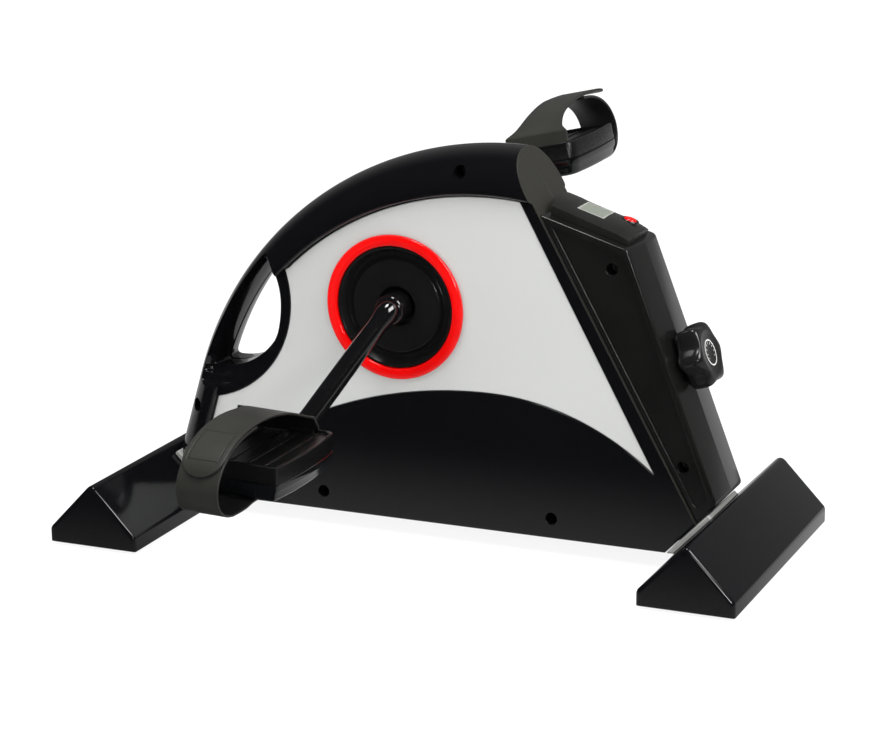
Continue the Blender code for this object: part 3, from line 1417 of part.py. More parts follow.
def strap_inner(side, pedal):
    """The upper strap layer: a flared flap in the pedal's slot, with a rounded tail over the outer layer."""
    loop = [tuple(p) for p in moved_out(spline(STRAP_LOOP, 3), STRAP_THICKNESS + GAP)[:23]]
    if side > 0:
        start = STRAP_TAIL_FROM
        pitch = (loop[-1][0] - loop[start][0]) / (len(loop) - 1 - start)
        y0, z0 = loop[start]
        loop[start:] = [(y0 + pitch * k, z0 - STRAP_TAIL_DROP * k * k) for k in range(len(loop) - start)]
    seat = -PEDAL_HALF_WIDTH + STRAP_INSET
    slot_floor = PEDAL_HALF_HEIGHT - STRAP_SLOT_DEPTH + GAP
    stations = [(seat, slot_floor, *STRAP_TONGUE), (seat, PEDAL_HALF_HEIGHT + GAP, *STRAP_TONGUE)]
    back, front = STRAP_FLARE[side]
    stations.append((seat, PEDAL_HALF_HEIGHT + 2 * GAP, back, front))
    middle = (STRAP_BACK + STRAP_FRONT) / 2
    for i, (y, z) in enumerate(loop):
        flare = max(0.0, 1 - i / 9) ** 1.5
        narrow = math.sqrt(1 - max(0.0, (i - len(loop) + 4) / 3.2) ** 2)
        low = STRAP_BACK + (back - STRAP_BACK) * flare
        high = STRAP_FRONT + (front - STRAP_FRONT) * flare
        stations.append((y, z, middle + (low - middle) * narrow, middle + (high - middle) * narrow))
    return ribbon(side, stations, STRAP_THICKNESS, f"{side_name(side)}_strap_inner", pedal)


# From this station on, the right strap's tail stands off the loop, nearly straight
STRAP_TAIL_FROM = 12
STRAP_TAIL_DROP = 0.00003


# Computer, laid on the box's slanted top


def computer_place():
    """Origin on the box's top at the computer's rear end, and the directions along and out of the top."""
    start = box_outline()[3] + BOX_TOP_DIRECTION * COMPUTER_START + BOX_TOP_NORMAL * GAP
    return start, BOX_TOP_DIRECTION, BOX_TOP_NORMAL


def on_top(along, across, up):
    start, run, rise = computer_place()
    x, z = start + run * along + rise * up
    return (x, across, z)


def top_solid(outline, low, high, shrink=0.0):
    """A plan of (along, across) points carried from low to high above the box's top."""
    small = offset(outline, -shrink) if shrink else outline
    return skin([[on_top(a, b, low) for a, b in outline], [on_top(a, b, high) for a, b in small]])


def lens_outline():
    a0, a1 = LENS_AT - LENS_LENGTH / 2, LENS_AT + LENS_LENGTH / 2
    half = LENS_WIDTH / 2
    return [(a0, -half), (a1, -half), (a1, half), (a0, half)]


def computer_case():
    """The computer: a crowned case with a hump at the rear, a seat for its lens and a well for its button."""
    half = COMPUTER_WIDTH / 2
    loops = []
    for along, lean, side_height, top in COMPUTER_SECTIONS:
        loop = [on_top(along, -half, 0), on_top(along, half, 0)]
        for share in (1.0, 0.86, 0.5, 0.0, -0.5, -0.86, -1.0):
            up = side_height + (top - side_height) * (1 - abs(share) ** 2.5)
            loop.append(on_top(along + lean * up, share * half, up))
        loops.append(loop)
    case = place("computer_case", skin(loops), "matte_black")
    floor = LENS_TOP - LENS_THICKNESS - GAP
    cut(case, top_solid(offset(lens_outline(), GAP), floor, COMPUTER_HEIGHT + 0.01))
    low = COMPUTER_HEIGHT - BUTTON_DEEP - BUTTON_TRAVEL - GAP
    cut(case, top_solid(button_outline(GAP), low, COMPUTER_HEIGHT + 0.01))
    return case


LENS_TOP = COMPUTER_HEIGHT - 0.0007
# Distance from the rear end, rearward lean, height of the side and height of the middle
COMPUTER_SECTIONS = [
    (0.0, -0.25, 0.0064, COMPUTER_HEIGHT + COMPUTER_HUMP),
    (0.0080, 0.0, 0.0064, COMPUTER_HEIGHT + COMPUTER_HUMP * 0.9),
    (0.0130, 0.0, 0.0062, COMPUTER_HEIGHT),
    (COMPUTER_LENGTH - 0.0100, 0.0, 0.0050, COMPUTER_HEIGHT),
    (COMPUTER_LENGTH - 0.0030, 0.0, 0.0042, COMPUTER_HEIGHT * 0.78),
    (COMPUTER_LENGTH, 0.0, 0.0034, COMPUTER_HEIGHT * 0.50),
]


def computer_lens():
    return place("computer_lens", top_solid(lens_outline(), LENS_TOP - LENS_THICKNESS, LENS_TOP), "lens_grey")


def button_outline(grow):
    angles = np.linspace(0, 2 * math.pi, 18, endpoint=False)
    a = BUTTON_LENGTH / 2 + grow
    b = BUTTON_WIDTH / 2 + grow
    return [(BUTTON_AT + a * math.cos(t), BUTTON_ACROSS + b * math.sin(t)) for t in angles]


def computer_button(pivot):
    """The red push button: an oval with a domed face, held in its well."""
    low = COMPUTER_HEIGHT - BUTTON_DEEP
    high = COMPUTER_HEIGHT + BUTTON_RISE
    outline = button_outline(0)
    rings = [(low, 0.0), (high - 0.0010, 0.0), (high - 0.0003, 0.0008), (high, 0.0022)]
    loops = []
    for level, shrink in rings:
        ring = offset(outline, -shrink) if shrink else outline
        loops.append([Vector(on_top(a, b, level)) - pivot.matrix_world.translation for a, b in ring])
    return place("computer_button", skin(loops), "red", pivot)


def build_housing():
    for side in (-1, 1):
        housing_shell(side)
        side_panel(side)
        bezel_ring(side)
        round_cover(side)
        box_cover(side)
    for name, (x, z) in {**HOUSING_SCREWS, **BOX_SCREWS}.items():
        shell_screw(name, x, z)


def build_feet():
    for side_x, label, length in ((1, "console", CONSOLE_FOOT_LENGTH), (-1, "handle", HANDLE_FOOT_LENGTH)):
        foot_cover(side_x, f"{label}_foot_cover", length)
        foot_bar(side_x, f"{label}_foot_bar", length)
        foot_bolt(side_x, f"{label}_foot_bolt")
        for side_y in (-1, 1):
            foot_pad(side_x, side_y, f"{label}_{side_name(side_y)}_pad", length)


def build_crank():
    crank = axis_empty("crank_axis", CRANK_AT)
    crank_axle(crank)
    drive_pulley(crank)
    pitches = {-1: LEFT_PEDAL_PITCH, 1: RIGHT_PEDAL_PITCH}
    for side in (-1, 1):
        crank_arm(side, crank)
        pedal_spindle(side, crank)
        at = Vector(CRANK_AT) + Vector(crank_point(side, 1, PEDAL_MIDDLE))
        pedal = axis_empty(f"{side_name(side)}_pedal_axis", at, crank, pitches[side])
        pedal_half(side, pedal, upper=False)
        pedal_half(side, pedal, upper=True)
        strap_outer(side, pedal)
        strap_inner(side, pedal)
    for side, low in ((-1, -TUBE_LEFT), (1, TUBE_RIGHT - BEARING_WIDTH + GAP)):
        bore, width = AXLE_RADIUS + RUNNING_FIT, BEARING_WIDTH - GAP
        bearing(f"{side_name(side)}_axle_bearing", CRANK_AT, low, BEARING_RADIUS, bore, width, AXLE_STEPS)


def build_drive():
    wheel = axis_empty("flywheel_axis", FLYWHEEL_AT)
    flywheel(wheel)
    flywheel_shaft(wheel)
    for side in (-1, 1):
        low = FORK_IN if side > 0 else -FORK_OUT
        bore = SHAFT_RADIUS + RUNNING_FIT
        name = f"{side_name(side)}_shaft_bearing"
        bearing(name, FLYWHEEL_AT, low, SMALL_BEARING_RADIUS, bore, PLATE, TURN_STEPS)
    drive_belt()
    pivot = axis_empty("brake_axis", PIN_AT)
    brake_bracket(pivot)
    brake_magnets(pivot)
    brake_pin()
    return_spring()


def build_controls():
    at, _ = knob_axis()
    pivot = axis_empty("knob_axis", at)
    tension_knob(pivot)
    knob_cam(pivot)
    computer_case()
    computer_lens()
    button = axis_empty("button_axis", on_top(BUTTON_AT, BUTTON_ACROSS, COMPUTER_HEIGHT))
    computer_button(button)


def main():
    clear_scene()
    main_frame()
    build_feet()
    build_housing()
    build_crank()
    build_drive()
    build_controls()


main()
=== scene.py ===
"""Looks of the mini exercise bike: its smooth skins, its materials and the studio.

Metres, +Z up, +X towards the sitting user, -Y the user's left side. The sizes are those of the CAD model.
"""

import math

import bmesh
import bpy
import numpy as np
from mathutils import Matrix, Vector
from mathutils.geometry import delaunay_2d_cdt, tessellate_polygon


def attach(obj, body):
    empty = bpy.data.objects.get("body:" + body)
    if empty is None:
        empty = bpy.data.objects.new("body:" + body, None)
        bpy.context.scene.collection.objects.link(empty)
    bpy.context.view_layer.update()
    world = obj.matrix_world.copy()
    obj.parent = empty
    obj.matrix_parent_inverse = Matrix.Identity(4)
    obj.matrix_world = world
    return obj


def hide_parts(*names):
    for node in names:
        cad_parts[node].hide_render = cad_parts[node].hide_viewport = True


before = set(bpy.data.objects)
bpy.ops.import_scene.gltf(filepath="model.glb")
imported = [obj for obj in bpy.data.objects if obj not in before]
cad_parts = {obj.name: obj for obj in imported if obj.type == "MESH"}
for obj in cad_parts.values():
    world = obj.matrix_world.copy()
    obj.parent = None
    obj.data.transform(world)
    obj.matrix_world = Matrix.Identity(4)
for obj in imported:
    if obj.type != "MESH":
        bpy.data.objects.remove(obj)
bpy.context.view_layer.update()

bl_info = {
    "name": "Mini exercise bike looks",
    "version": (1, 0, 0),
    "blender": (4, 5, 0),
    "location": "View3D > Sidebar > Bike",
    "description": "Builds the smooth skins, materials and studio of a mini exercise bike",
    "category": "Object",
}

# Fits
GAP = 0.0003
MERGE = 2e-6
SIDE = {-1: "left", 1: "right"}

# Feet
FOOT_X = 0.2301
FOOT_HALF = 0.0368
FOOT_SIDE = 0.0136
FOOT_RIDGE = 0.0521
FOOT_RIDGE_RADIUS = 0.006
FOOT_LENGTHS = {1: 0.237, -1: 0.3025}
FOOT_WALL = 0.003
FOOT_EDGE = 0.0032
SADDLE_END = 0.0115
PAD_HEIGHT = 0.002

# Housing, seen from the side
ARCH_RADIUS = 0.2663
ARCH = np.array([0.0498, 0.0380])
ARCH_START = 78.0
ARCH_HALF_WIDTH = 0.0375
CREST_BAND = 0.0310
STRUT_BAND = 0.0240
BAND_LIP = 0.0033
STRUT_LEAN = 16.7
HOUSING_HALF = 0.0335
HOUSING_FLOOR = 0.0137
CREST_X = 0.0640
CREST_LEAN = 29.2
SWEEP_BACK = 0.075
FOOT_CLEARANCE = 0.005
HOUSING_EDGE = 0.0015

# Hand grip opening
GRIP_THICKNESS = 0.0155
OPENING_RADIUS = 0.0575
OPENING = np.array([-0.1849, 0.1749])
OPENING_SIDE_FLARE = 0.0020
OPENING_LOW_FLARE = 0.0110
OPENING_MIDDLE = np.array([-0.1510, 0.1550])
OPENING_EDGE = 0.0014
OPENING_BLEND = 0.0050
OPENING_HALVES = np.arange(0, 0.0451, 0.0001)
# Distance from the middle, how much thinner the grip is there, and how far the opening has flared
OPENING_LEVELS = np.array([
    (0.0, 0.0, 0.0), (0.010, 0.0009, 0.0), (0.020, 0.0034, 0.05), (0.0215, 0.0040, 0.35),
    (0.0275, 0.0075, 0.45), (0.0290, 0.0088, 0.95), (0.0450, 0.0250, 1.10),
])
RIM_RADIUS = 0.0823
RIM = np.array([-0.1990, 0.1760])

# Side panel and the black field below it
PANEL_MARGIN = 0.0012
PANEL_END = 0.0103
PANEL_LEAN = 28.4
FIELD_TOP = 0.1215
FIELD_TOP_X = 0.0450
FIELD_LEFT_RADIUS = 0.345
FIELD_RIGHT_RADIUS = 0.204
PANEL_OUT = 0.0327
PANEL_IN = 0.0311
PANEL_FLOOR = 0.0308
WELL_FLOOR = 0.0243

# Ring, cover and crank
CRANK = np.array([-0.0292, 0.1807])
RING_RADIUS = 0.0556
RING_INNER = 0.0472
RING_RISE = 0.0034
RING_SPIGOT = 0.0030
RING_FLANK = 0.0009
COVER_DISC_RADIUS = 0.0356
COVER_DISH = 0.0045
COVER_WALL = 0.0018
COVER_STEP = 0.0020
CRANK_HOLE = 0.0150
CRANK_LENGTH = 0.0859
CRANK_ANGLE = 244.7
HUB_RADIUS = 0.0120
HUB_IN = 0.0265
HUB_OUT = 0.0470
ROD_RADIUS = 0.0078
ROD_BEND = 0.014
ARM_END_IN = 0.1260
ARM_END_OUT = 0.1445
ARM_END_RADIUS = 0.0105

# Pedals and straps
PEDAL_MIDDLE = 0.1941
PEDAL_WIDTH = 0.0960
PEDAL_LENGTH = 0.0788
PEDAL_HEIGHT = 0.0264
PEDAL_BULGE = 0.0030
PEDAL_CORNER = 0.006
PEDAL_REAR = 0.018
PEDAL_TAPER = 0.0035
PEDAL_PITCH = {-1: 2.1, 1: -12.9}
TRAY_DEPTH = 0.0022
TRAY_RIM = 0.0030
TREAD_COUNT = 5
TREAD_WIDTH = 0.0030
STRAP_THICKNESS = 0.0022
STRAP_INSET = 0.0032
STRAP_FRONT = 0.0240
STRAP_BACK = -0.0080
STRAP_SLOT_DEPTH = 0.0065
STRAP_TONGUE = (0.004, 0.024)
STRAP_FLARE = {-1: (-0.0290, 0.0275), 1: (-0.0165, 0.0370)}
# Over how many points of the loop the flare fades, and with what power
STRAP_FLARE_SHAPE = {-1: (9.0, 1.5), 1: (7.5, 1.8)}
STRAP_SHIFT = {-1: -0.003, 1: 0.0}
STRAP_TIP_DROP = 0.0018
STRAP_EAR = 0.0090
STRAP_EAR_AT = 3.2
STRAP_TAIL_FROM = 12
STRAP_TAIL_DROP = 0.00003

# Console box, knob and computer
BOX_HALF = 0.0317
BOX_FRONT = np.array([0.1568, 0.2382])
BOX_FRONT_LEAN = 21.0
BOX_TOP_SLOPE = 17.2
BOX_RIM = 0.0045
BOX_FOOT_RIM = 0.0090
BOX_SIDE_RECESS = 0.0015
KNOB_HEIGHT = 0.1534
KNOB_RADIUS = 0.0255
KNOB_TALL = 0.0210
KNOB_LOBES = 6
KNOB_WAIST = 0.0052
COMPUTER_START = 0.0022
COMPUTER_LENGTH = 0.0620
COMPUTER_HALF = 0.0220
COMPUTER_HEIGHT = 0.0098
COMPUTER_HUMP = 0.0012
LENS_LENGTH = 0.0215
LENS_WIDTH = 0.0232
LENS_AT = 0.0254
LENS_POCKET = 0.0022
BUTTON_AT = 0.0508
BUTTON_ACROSS = 0.0065
BUTTON_LENGTH = 0.0100
BUTTON_WIDTH = 0.0085
BUTTON_RISE = 0.0016

# Screw recesses, all on the left side
RECESS_RADIUS = 0.0046
SCREW_SEAT = 0.0180
BAND_SCREWS = [(0.0239, 0.2873), (-0.2005, 0.0865)]
FIELD_SCREWS = [(0.0970, 0.0294), (-0.0915, 0.0287)]
BOX_SCREWS = [(0.1420, 0.2236), (0.1984, 0.0800)]

# The photograph's camera
CAMERA_TARGET = Vector((-0.00708, 0, 0.12126))
CAMERA_DISTANCE = 2.0761
CAMERA_AZIMUTH = 23.4025
CAMERA_ELEVATION = 15.3789
CAMERA_ROLL = -0.4515
CAMERA_FOCAL = 111.1119


# Plane curves


def direction(degrees):
    """Unit vector in the side view, turned up from +X."""
    return np.array([math.cos(math.radians(degrees)), math.sin(math.radians(degrees))])


def meeting(p, u, q, v):
    """p + s u = q + t v, solved for the point."""
    s, _ = np.linalg.solve(np.array([[u[0], -v[0]], [u[1], -v[1]]]), np.subtract(q, p))
    return np.add(p, np.multiply(s, u))


def arc(centre, radius, start, end, steps):
    """centre + radius (cos a, sin a), a from start to end in degrees."""
    a = np.radians(np.linspace(start, end, steps + 1))
    return np.stack([centre[0] + radius * np.cos(a), centre[1] + radius * np.sin(a)], 1)


def angle_of(point, centre):
    return math.degrees(math.atan2(point[1] - centre[1], point[0] - centre[0])) % 360


def offset(outline, distance):
    """Each point moved along its mitre. The outline runs anticlockwise."""
    points = np.array(outline, float)
    ahead = np.roll(points, -1, axis=0) - points
    ahead /= np.linalg.norm(ahead, axis=1)[:, None]
    normal = np.stack([ahead[:, 1], -ahead[:, 0]], axis=1)
    before = np.roll(normal, 1, axis=0)
    mitre = (normal + before) / (1 + np.sum(normal * before, axis=1))[:, None]
    return points + distance * mitre


def softened(points, radius, steps=4, closed=True):
    """A polygon or path with each corner replaced by a parabola that starts radius away from it."""
    points = [np.array(p, float) for p in points]
    count = len(points)
    radii = np.broadcast_to(radius, count)
    result = []
    for i, p in enumerate(points):
        if (not closed and i in (0, count - 1)) or radii[i] == 0:
            result.append(p)
            continue
        before, after = points[i - 1] - p, points[(i + 1) % count] - p
        lengths = np.linalg.norm(before), np.linalg.norm(after)
        reach = min(radii[i], 0.48 * lengths[0], 0.48 * lengths[1])
        a, b = p + before * reach / lengths[0], p + after * reach / lengths[1]
        for t in np.linspace(0, 1, steps + 1):
            result.append((1 - t) ** 2 * a + 2 * t * (1 - t) * p + t * t * b)
    return np.array(result)

def spline(points, steps):
    """A Catmull-Rom curve through the points."""
    p = np.array(points, float)
    p = np.concatenate([2 * p[:1] - p[1:2], p, 2 * p[-1:] - p[-2:-1]])
    t = (np.arange(steps) / steps)[None, :, None]
    p0, p1, p2, p3 = (p[k : len(p) - 3 + k][:, None, :] for k in range(4))
    square, cube = 2 * p0 - 5 * p1 + 4 * p2 - p3, 3 * p1 - p0 - 3 * p2 + p3
    curve = (2 * p1 + (p2 - p0) * t + square * t**2 + cube * t**3) / 2
    return np.concatenate([curve.reshape(-1, p.shape[1]), p[-2:-1]])


def quarter(edge, steps):
    """Pairs round a quarter circle of radius edge, from (0, edge) to (edge, 0)."""
    angles = np.radians(np.linspace(0, 90, steps + 1))
    return [(edge * (1 - math.cos(a)), edge * (1 - math.sin(a))) for a in angles]


def halved(inside, low, high, shape=()):
    """The last place inside on the way from low to high, and the first one outside, found by halving."""
    low, high = np.full(shape, float(low)), np.full(shape, float(high))
    for _ in range(40):
        middle = (low + high) / 2
        kept = inside(middle)
        low, high = np.where(kept, middle, low), np.where(kept, high, middle)
    return low, high


def lengths_along(path):
    """The length of a path up to each of its points."""
    return np.concatenate([[0], np.cumsum(np.linalg.norm(np.diff(path, axis=0), axis=1))])


def ahead_of(path):
    """Unit vectors along a path."""
    ahead = np.gradient(np.array(path, float), axis=0)
    return ahead / np.linalg.norm(ahead, axis=1)[:, None]


def smooth_step(x, low, high):
    t = np.clip((x - low) / (high - low), 0, 1)
    return t * t * (3 - 2 * t)


def at_y(outline, y):
    """Side view points (x, z) as points in space at y."""
    outline = np.asarray(outline, float)
    return np.stack([outline[:, 0], np.full(len(outline), y), outline[:, 1]], 1)


def axis_frame(at, towards):
    return Matrix.Translation(Vector(at)) @ Vector(towards).to_track_quat("Z", "Y").to_matrix().to_4x4()


def moved(points, matrix):
    """Points carried by a 4 by 4 matrix."""
    m = np.array(matrix)
    return points @ m[:3, :3].T + m[:3, 3]


class Skin:
    """Grids of points and flat faces that become one mesh."""

    def __init__(self):
        self.points = []
        self.marks = []
        self.quads = []
        self.flats = []
        self.count = 0

    def keep(self, points, marks=None):
        start = self.count
        self.points.append(np.asarray(points, float).reshape(-1, 3))
        self.marks.append(np.zeros_like(self.points[-1]) if marks is None else np.reshape(marks, (-1, 3)))
        self.count += len(self.points[-1])
        return start

    def grid(self, p, round_rows=False, round_columns=False, marks=None):
        """Quads over p of shape (rows, columns, 3). The marks are vectors that a material may read."""
        p = np.asarray(p, float)
        index = self.keep(p, marks) + np.arange(p.shape[0] * p.shape[1]).reshape(p.shape[:2])
        if round_rows:
            index = np.concatenate([index, index[:1]])
        if round_columns:
            index = np.concatenate([index, index[:, :1]], 1)
        corners = index[:-1, :-1], index[:-1, 1:], index[1:, 1:], index[1:, :-1]
        self.quads.append(np.stack(corners, -1).reshape(-1, 4))

    def tube(self, p, marks=None):
        """A grid closed round its columns, with its first and last row filled flat."""
        self.grid(p, round_columns=True, marks=marks)
        self.face([p[0]])
        self.face([p[-1]])

    def face(self, loops):
        """A flat face with holes. The first loop is the outer one."""
        points = np.concatenate([np.asarray(loop, float) for loop in loops])
        spread = points - points.mean(axis=0)
        _, _, axes = np.linalg.svd(spread, full_matrices=False)
        plane = spread @ axes[:2].T
        split = np.split(plane, np.cumsum([len(loop) for loop in loops])[:-1])
        triangles = tessellate_polygon([[Vector((x, y, 0)) for x, y in loop] for loop in split])
        self.flats.append(np.array(triangles) + self.keep(points))

    def triangles(self, points, faces):
        self.quads.append(np.array(faces) + self.keep(points))

    def turn(self, profile, at, towards, steps, closed=False):
        """A profile of (r, height) turned round an axis: (r cos a, r sin a, height)."""
        a = np.linspace(0, 2 * math.pi, steps, endpoint=False)
        r, height = np.hsplit(np.asarray(profile, float), 2)
        points = np.stack([r * np.cos(a), r * np.sin(a), height + 0 * a], -1)
        self.grid(moved(points, axis_frame(at, towards)), closed, True)

    def prism(self, section, y0, y1, edge, steps):
        """section(inset) carried from y0 to y1, with both ends rounded over edge."""
        ends = quarter(edge, steps)
        rows = [at_y(section(inset), y0 + back) for inset, back in ends[::-1]]
        self.tube(np.array(rows + [at_y(section(inset), y1 - back) for inset, back in ends]))

    def piece(self, name, material, body, nodes, sharp=34.0):
        """Merges the points, turns the faces out and puts the mesh in the scene."""
        mesh = bpy.data.meshes.new(name)
        faces = [face for block in self.quads for face in block.tolist()]
        first_flat = len(faces)
        faces += [face for block in self.flats for face in block.tolist()]
        mesh.from_pydata(np.concatenate(self.points).tolist(), [], faces)
        marks = mesh.attributes.new("mark", "FLOAT_VECTOR", "POINT")
        marks.data.foreach_set("vector", np.concatenate(self.marks).ravel())
        bm = bmesh.new()
        bm.from_mesh(mesh)
        bm.faces.ensure_lookup_table()
        flat = bm.faces.layers.int.new("flat")
        for face in bm.faces[first_flat:]:
            face[flat] = 1
        bmesh.ops.remove_doubles(bm, verts=bm.verts, dist=MERGE)
        bmesh.ops.recalc_face_normals(bm, faces=bm.faces)
        for edge in bm.edges:
            if len(edge.link_faces) == 2:
                angle = math.degrees(edge.calc_face_angle(0.0))
                edge.smooth = angle < (1.0 if any(f[flat] for f in edge.link_faces) else sharp)
        for face in bm.faces:
            face.smooth = True
        bm.to_mesh(mesh)
        bm.free()
        mesh.materials.append(material)
        obj = bpy.data.objects.new(name, mesh)
        bpy.context.scene.collection.objects.link(obj)
        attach(obj, body)
        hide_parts(*nodes)
        return obj


def sweep(path, radii, level, steps=24):
    """Circles of the given radii across a path. level is the sideways direction."""
    ahead = ahead_of(path)
    up = np.cross(level, ahead)
    up /= np.linalg.norm(up, axis=1)[:, None]
    side = np.cross(ahead, up)
    a = np.linspace(0, 2 * math.pi, steps, endpoint=False)
    ring = side[:, None] * np.cos(a)[None, :, None] + up[:, None] * np.sin(a)[None, :, None]
    return path[:, None] + ring * radii[:, None, None]


# Housing. A point of the band is given by s and t: s is the length along the arch's outer line from the top of
# the strut, and t the length across from the middle plane over the dome and down the lip.

STRUT_NORMAL = direction(180 - STRUT_LEAN)
STRUT_DOWN = np.array([-STRUT_NORMAL[1], STRUT_NORMAL[0]])
STRUT_TOP = ARCH + ARCH_RADIUS * STRUT_NORMAL
ARCH_SPAN = ARCH_RADIUS * math.radians(180 - STRUT_LEAN - ARCH_START)
DOME = 0.052
LIP = 0.006
CREST_TOP = np.array([CREST_X, ARCH[1] + math.sqrt(ARCH_RADIUS**2 - (CREST_X - ARCH[0]) ** 2)])
CREST_NORMAL = direction(CREST_LEAN)
CREST_DIRECTION = direction(CREST_LEAN - 90)
FOOT_SLOPE = math.degrees(math.atan2(FOOT_RIDGE - FOOT_SIDE, FOOT_HALF))
SEAM_GROOVE = 0.0008
SEAM_HALF = 0.0014
SEAM_DEEP = 0.0022
PATCH_LOW = -0.012
PATCH_HIGH = 0.135


def band_depth(s):
    """CREST_BAND to STRUT_BAND along the arch."""
    share = np.clip(1 - s / ARCH_SPAN, 0, 1)
    return CREST_BAND + (STRUT_BAND - CREST_BAND) * share


def on_side(s, depth):
    """Side view point at s along the outer line and depth inside it."""
    a = math.radians(180 - STRUT_LEAN) - np.maximum(s, 0) / ARCH_RADIUS
    normal = np.stack([np.cos(a), np.sin(a)], -1)
    down = np.minimum(s, 0)[..., None] * STRUT_DOWN
    return ARCH + normal * (ARCH_RADIUS - depth)[..., None] - down


def from_side(p):
    """(s, depth) of a side view point, the reverse of on_side."""
    away = p - ARCH
    radius = np.linalg.norm(away, axis=-1)
    s = ARCH_RADIUS * (math.radians(180 - STRUT_LEAN) - np.arctan2(away[..., 1], away[..., 0]))
    below = (p - STRUT_TOP) @ STRUT_DOWN
    inward = -((p - STRUT_TOP) @ STRUT_NORMAL)
    return np.where(below > 0, -below, s), np.where(below > 0, inward, ARCH_RADIUS - radius)


def across(t):
    """For t over the band: share of the band's depth, share of the lip and distance from the middle plane."""
    theta = np.clip(t / DOME, 0, 1) * math.pi / 2
    lip = np.clip((t - DOME) / LIP, 0, 1) * math.pi / 2
    drop = ARCH_HALF_WIDTH - HOUSING_HALF
    half = np.where(t < DOME, ARCH_HALF_WIDTH * np.sin(theta), HOUSING_HALF + drop * np.cos(lip))
    return 1 - np.cos(theta), np.sin(lip), half


def band_point(s, t, side):
    """The band's point in space, with the screw recesses sunk into the left side."""
    share, lip, half = across(t)
    depth = share * band_depth(s) + lip * BAND_LIP
    groove = np.where(t < SEAM_GROOVE / 2, SEAM_GROOVE, 0.0)
    p = on_side(s, depth + groove)
    if side < 0:
        for screw in BAND_SCREWS:
            reach = np.linalg.norm(p - np.array(screw), axis=-1)
            stay = smooth_step(reach, RECESS_RADIUS - 0.0002, RECESS_RADIUS + 0.0002)
            half = np.where(reach < RECESS_RADIUS + 0.0002, SCREW_SEAT + (half - SCREW_SEAT) * stay, half)
    return np.stack([p[..., 0], side * half, p[..., 1]], -1)


def skin_half(s, depth):
    """Distance of the outer skin from the middle plane at a side view place."""
    band = band_depth(s)
    dome = ARCH_HALF_WIDTH * np.sqrt(np.clip(1 - (1 - depth / band) ** 2, 0, 1))
    lip = np.clip((depth - band) / BAND_LIP, 0, 1)
    edge = HOUSING_HALF + (ARCH_HALF_WIDTH - HOUSING_HALF) * np.sqrt(1 - lip**2)
    return np.where(depth < 0, 0.0, np.where(depth < band, dome, edge))


def slope_line(side_x, clearance):
    along = direction(FOOT_SLOPE)
    point = np.array([FOOT_X, FOOT_RIDGE]) + clearance * np.array([-along[1], along[0]])
    flip = np.array([side_x, 1])
    return point * flip, along * flip


def edge_inset(half):
    """How far the lower edges are rounded in at a distance from the middle plane."""
    start = HOUSING_HALF - HOUSING_EDGE
    x = np.clip((half - start) / HOUSING_EDGE, 0, 1)
    return HOUSING_EDGE * (1 - np.sqrt(1 - x * x))


def crest_end(share, lip, half):
    """s where a line of the band meets the crest plane."""

    def inside(s):
        p = on_side(s, share * band_depth(s) + lip * BAND_LIP)
        return (p - CREST_TOP) @ CREST_NORMAL + SWEEP_BACK * half * CREST_NORMAL[0] <= 0

    return sum(halved(inside, 0.25, 0.42, np.shape(half))) / 2


def foot_end(share, lip, half):
    """s where a line of the strut meets the slope over the foot, or the floor."""
    inset = edge_inset(half)
    point, along = slope_line(-1, FOOT_CLEARANCE)
    normal = np.array([along[1], -along[0]])

    def inside(s):
        p = on_side(s, share * band_depth(s) + lip * BAND_LIP)
        return ((p - point) @ normal > inset) & (p[..., 1] > HOUSING_FLOOR + inset)

    return sum(halved(inside, 0.0, -0.2, np.shape(half))) / 2


def rounded_levels(column):
    """A column of the opening's levels against OPENING_HALVES, its corners rounded over a millimetre."""
    values = np.interp(OPENING_HALVES, OPENING_LEVELS[:, 0], OPENING_LEVELS[:, column])
    kernel = np.ones(9) / 9
    return np.convolve(np.convolve(np.pad(values, 8, mode="edge"), kernel, "valid"), kernel, "valid")


OPENING_THIN = rounded_levels(1)
OPENING_SHARE = rounded_levels(2)


def opening_margin(p, half):
    """How far a side view point lies inside the hand grip's opening at a distance from the middle plane."""
    thin = np.interp(half, OPENING_HALVES, OPENING_THIN)
    share = np.interp(half, OPENING_HALVES, OPENING_SHARE)
    x = np.clip((half - HOUSING_HALF + OPENING_EDGE) / OPENING_EDGE, 0, 1)
    rounding = OPENING_EDGE * (1 - np.sqrt(1 - x * x))
    away = p - OPENING
    radius = np.linalg.norm(away, axis=-1) + 1e-9
    flare = OPENING_SIDE_FLARE * smooth_step(away[..., 0] / radius, -0.55, -0.25)
    flare = flare + OPENING_LOW_FLARE * np.clip(-away[..., 1] / radius, 0, 1) ** 2
    under_grip = ARCH_RADIUS - np.linalg.norm(p - ARCH, axis=-1) - (GRIP_THICKNESS - thin)
    inside_round = OPENING_RADIUS + flare * share + rounding - radius
    overlap = np.maximum(OPENING_BLEND - np.abs(under_grip - inside_round), 0)
    return np.minimum(under_grip, inside_round) - overlap**2 / (4 * OPENING_BLEND)


def opening_wall(psi, half):
    """Where the margin is nought in the direction psi from the opening's middle, as a side view point."""
    ray = np.stack([np.cos(psi), np.sin(psi)], -1)

    def inside(r):
        return opening_margin(OPENING_MIDDLE + ray * r[..., None], half) > 0

    reach, _ = halved(inside, 0, 0.11, np.shape(half))
    return OPENING_MIDDLE + ray * reach[..., None]


def opening_edge(psi):
    """Where the wall in the direction psi meets the outer skin: side view point and half width."""

    def inside(half):
        return half < skin_half(*from_side(opening_wall(psi, half)))

    half, _ = halved(inside, 0, ARCH_HALF_WIDTH + 0.001, np.shape(psi))
    return opening_wall(psi, half), half


def past_lip(psi):
    """Whether the edge in the direction psi lies past the lip, on the flat side."""
    s, depth = from_side(opening_edge(psi)[0])
    return depth - band_depth(s) - BAND_LIP > 0


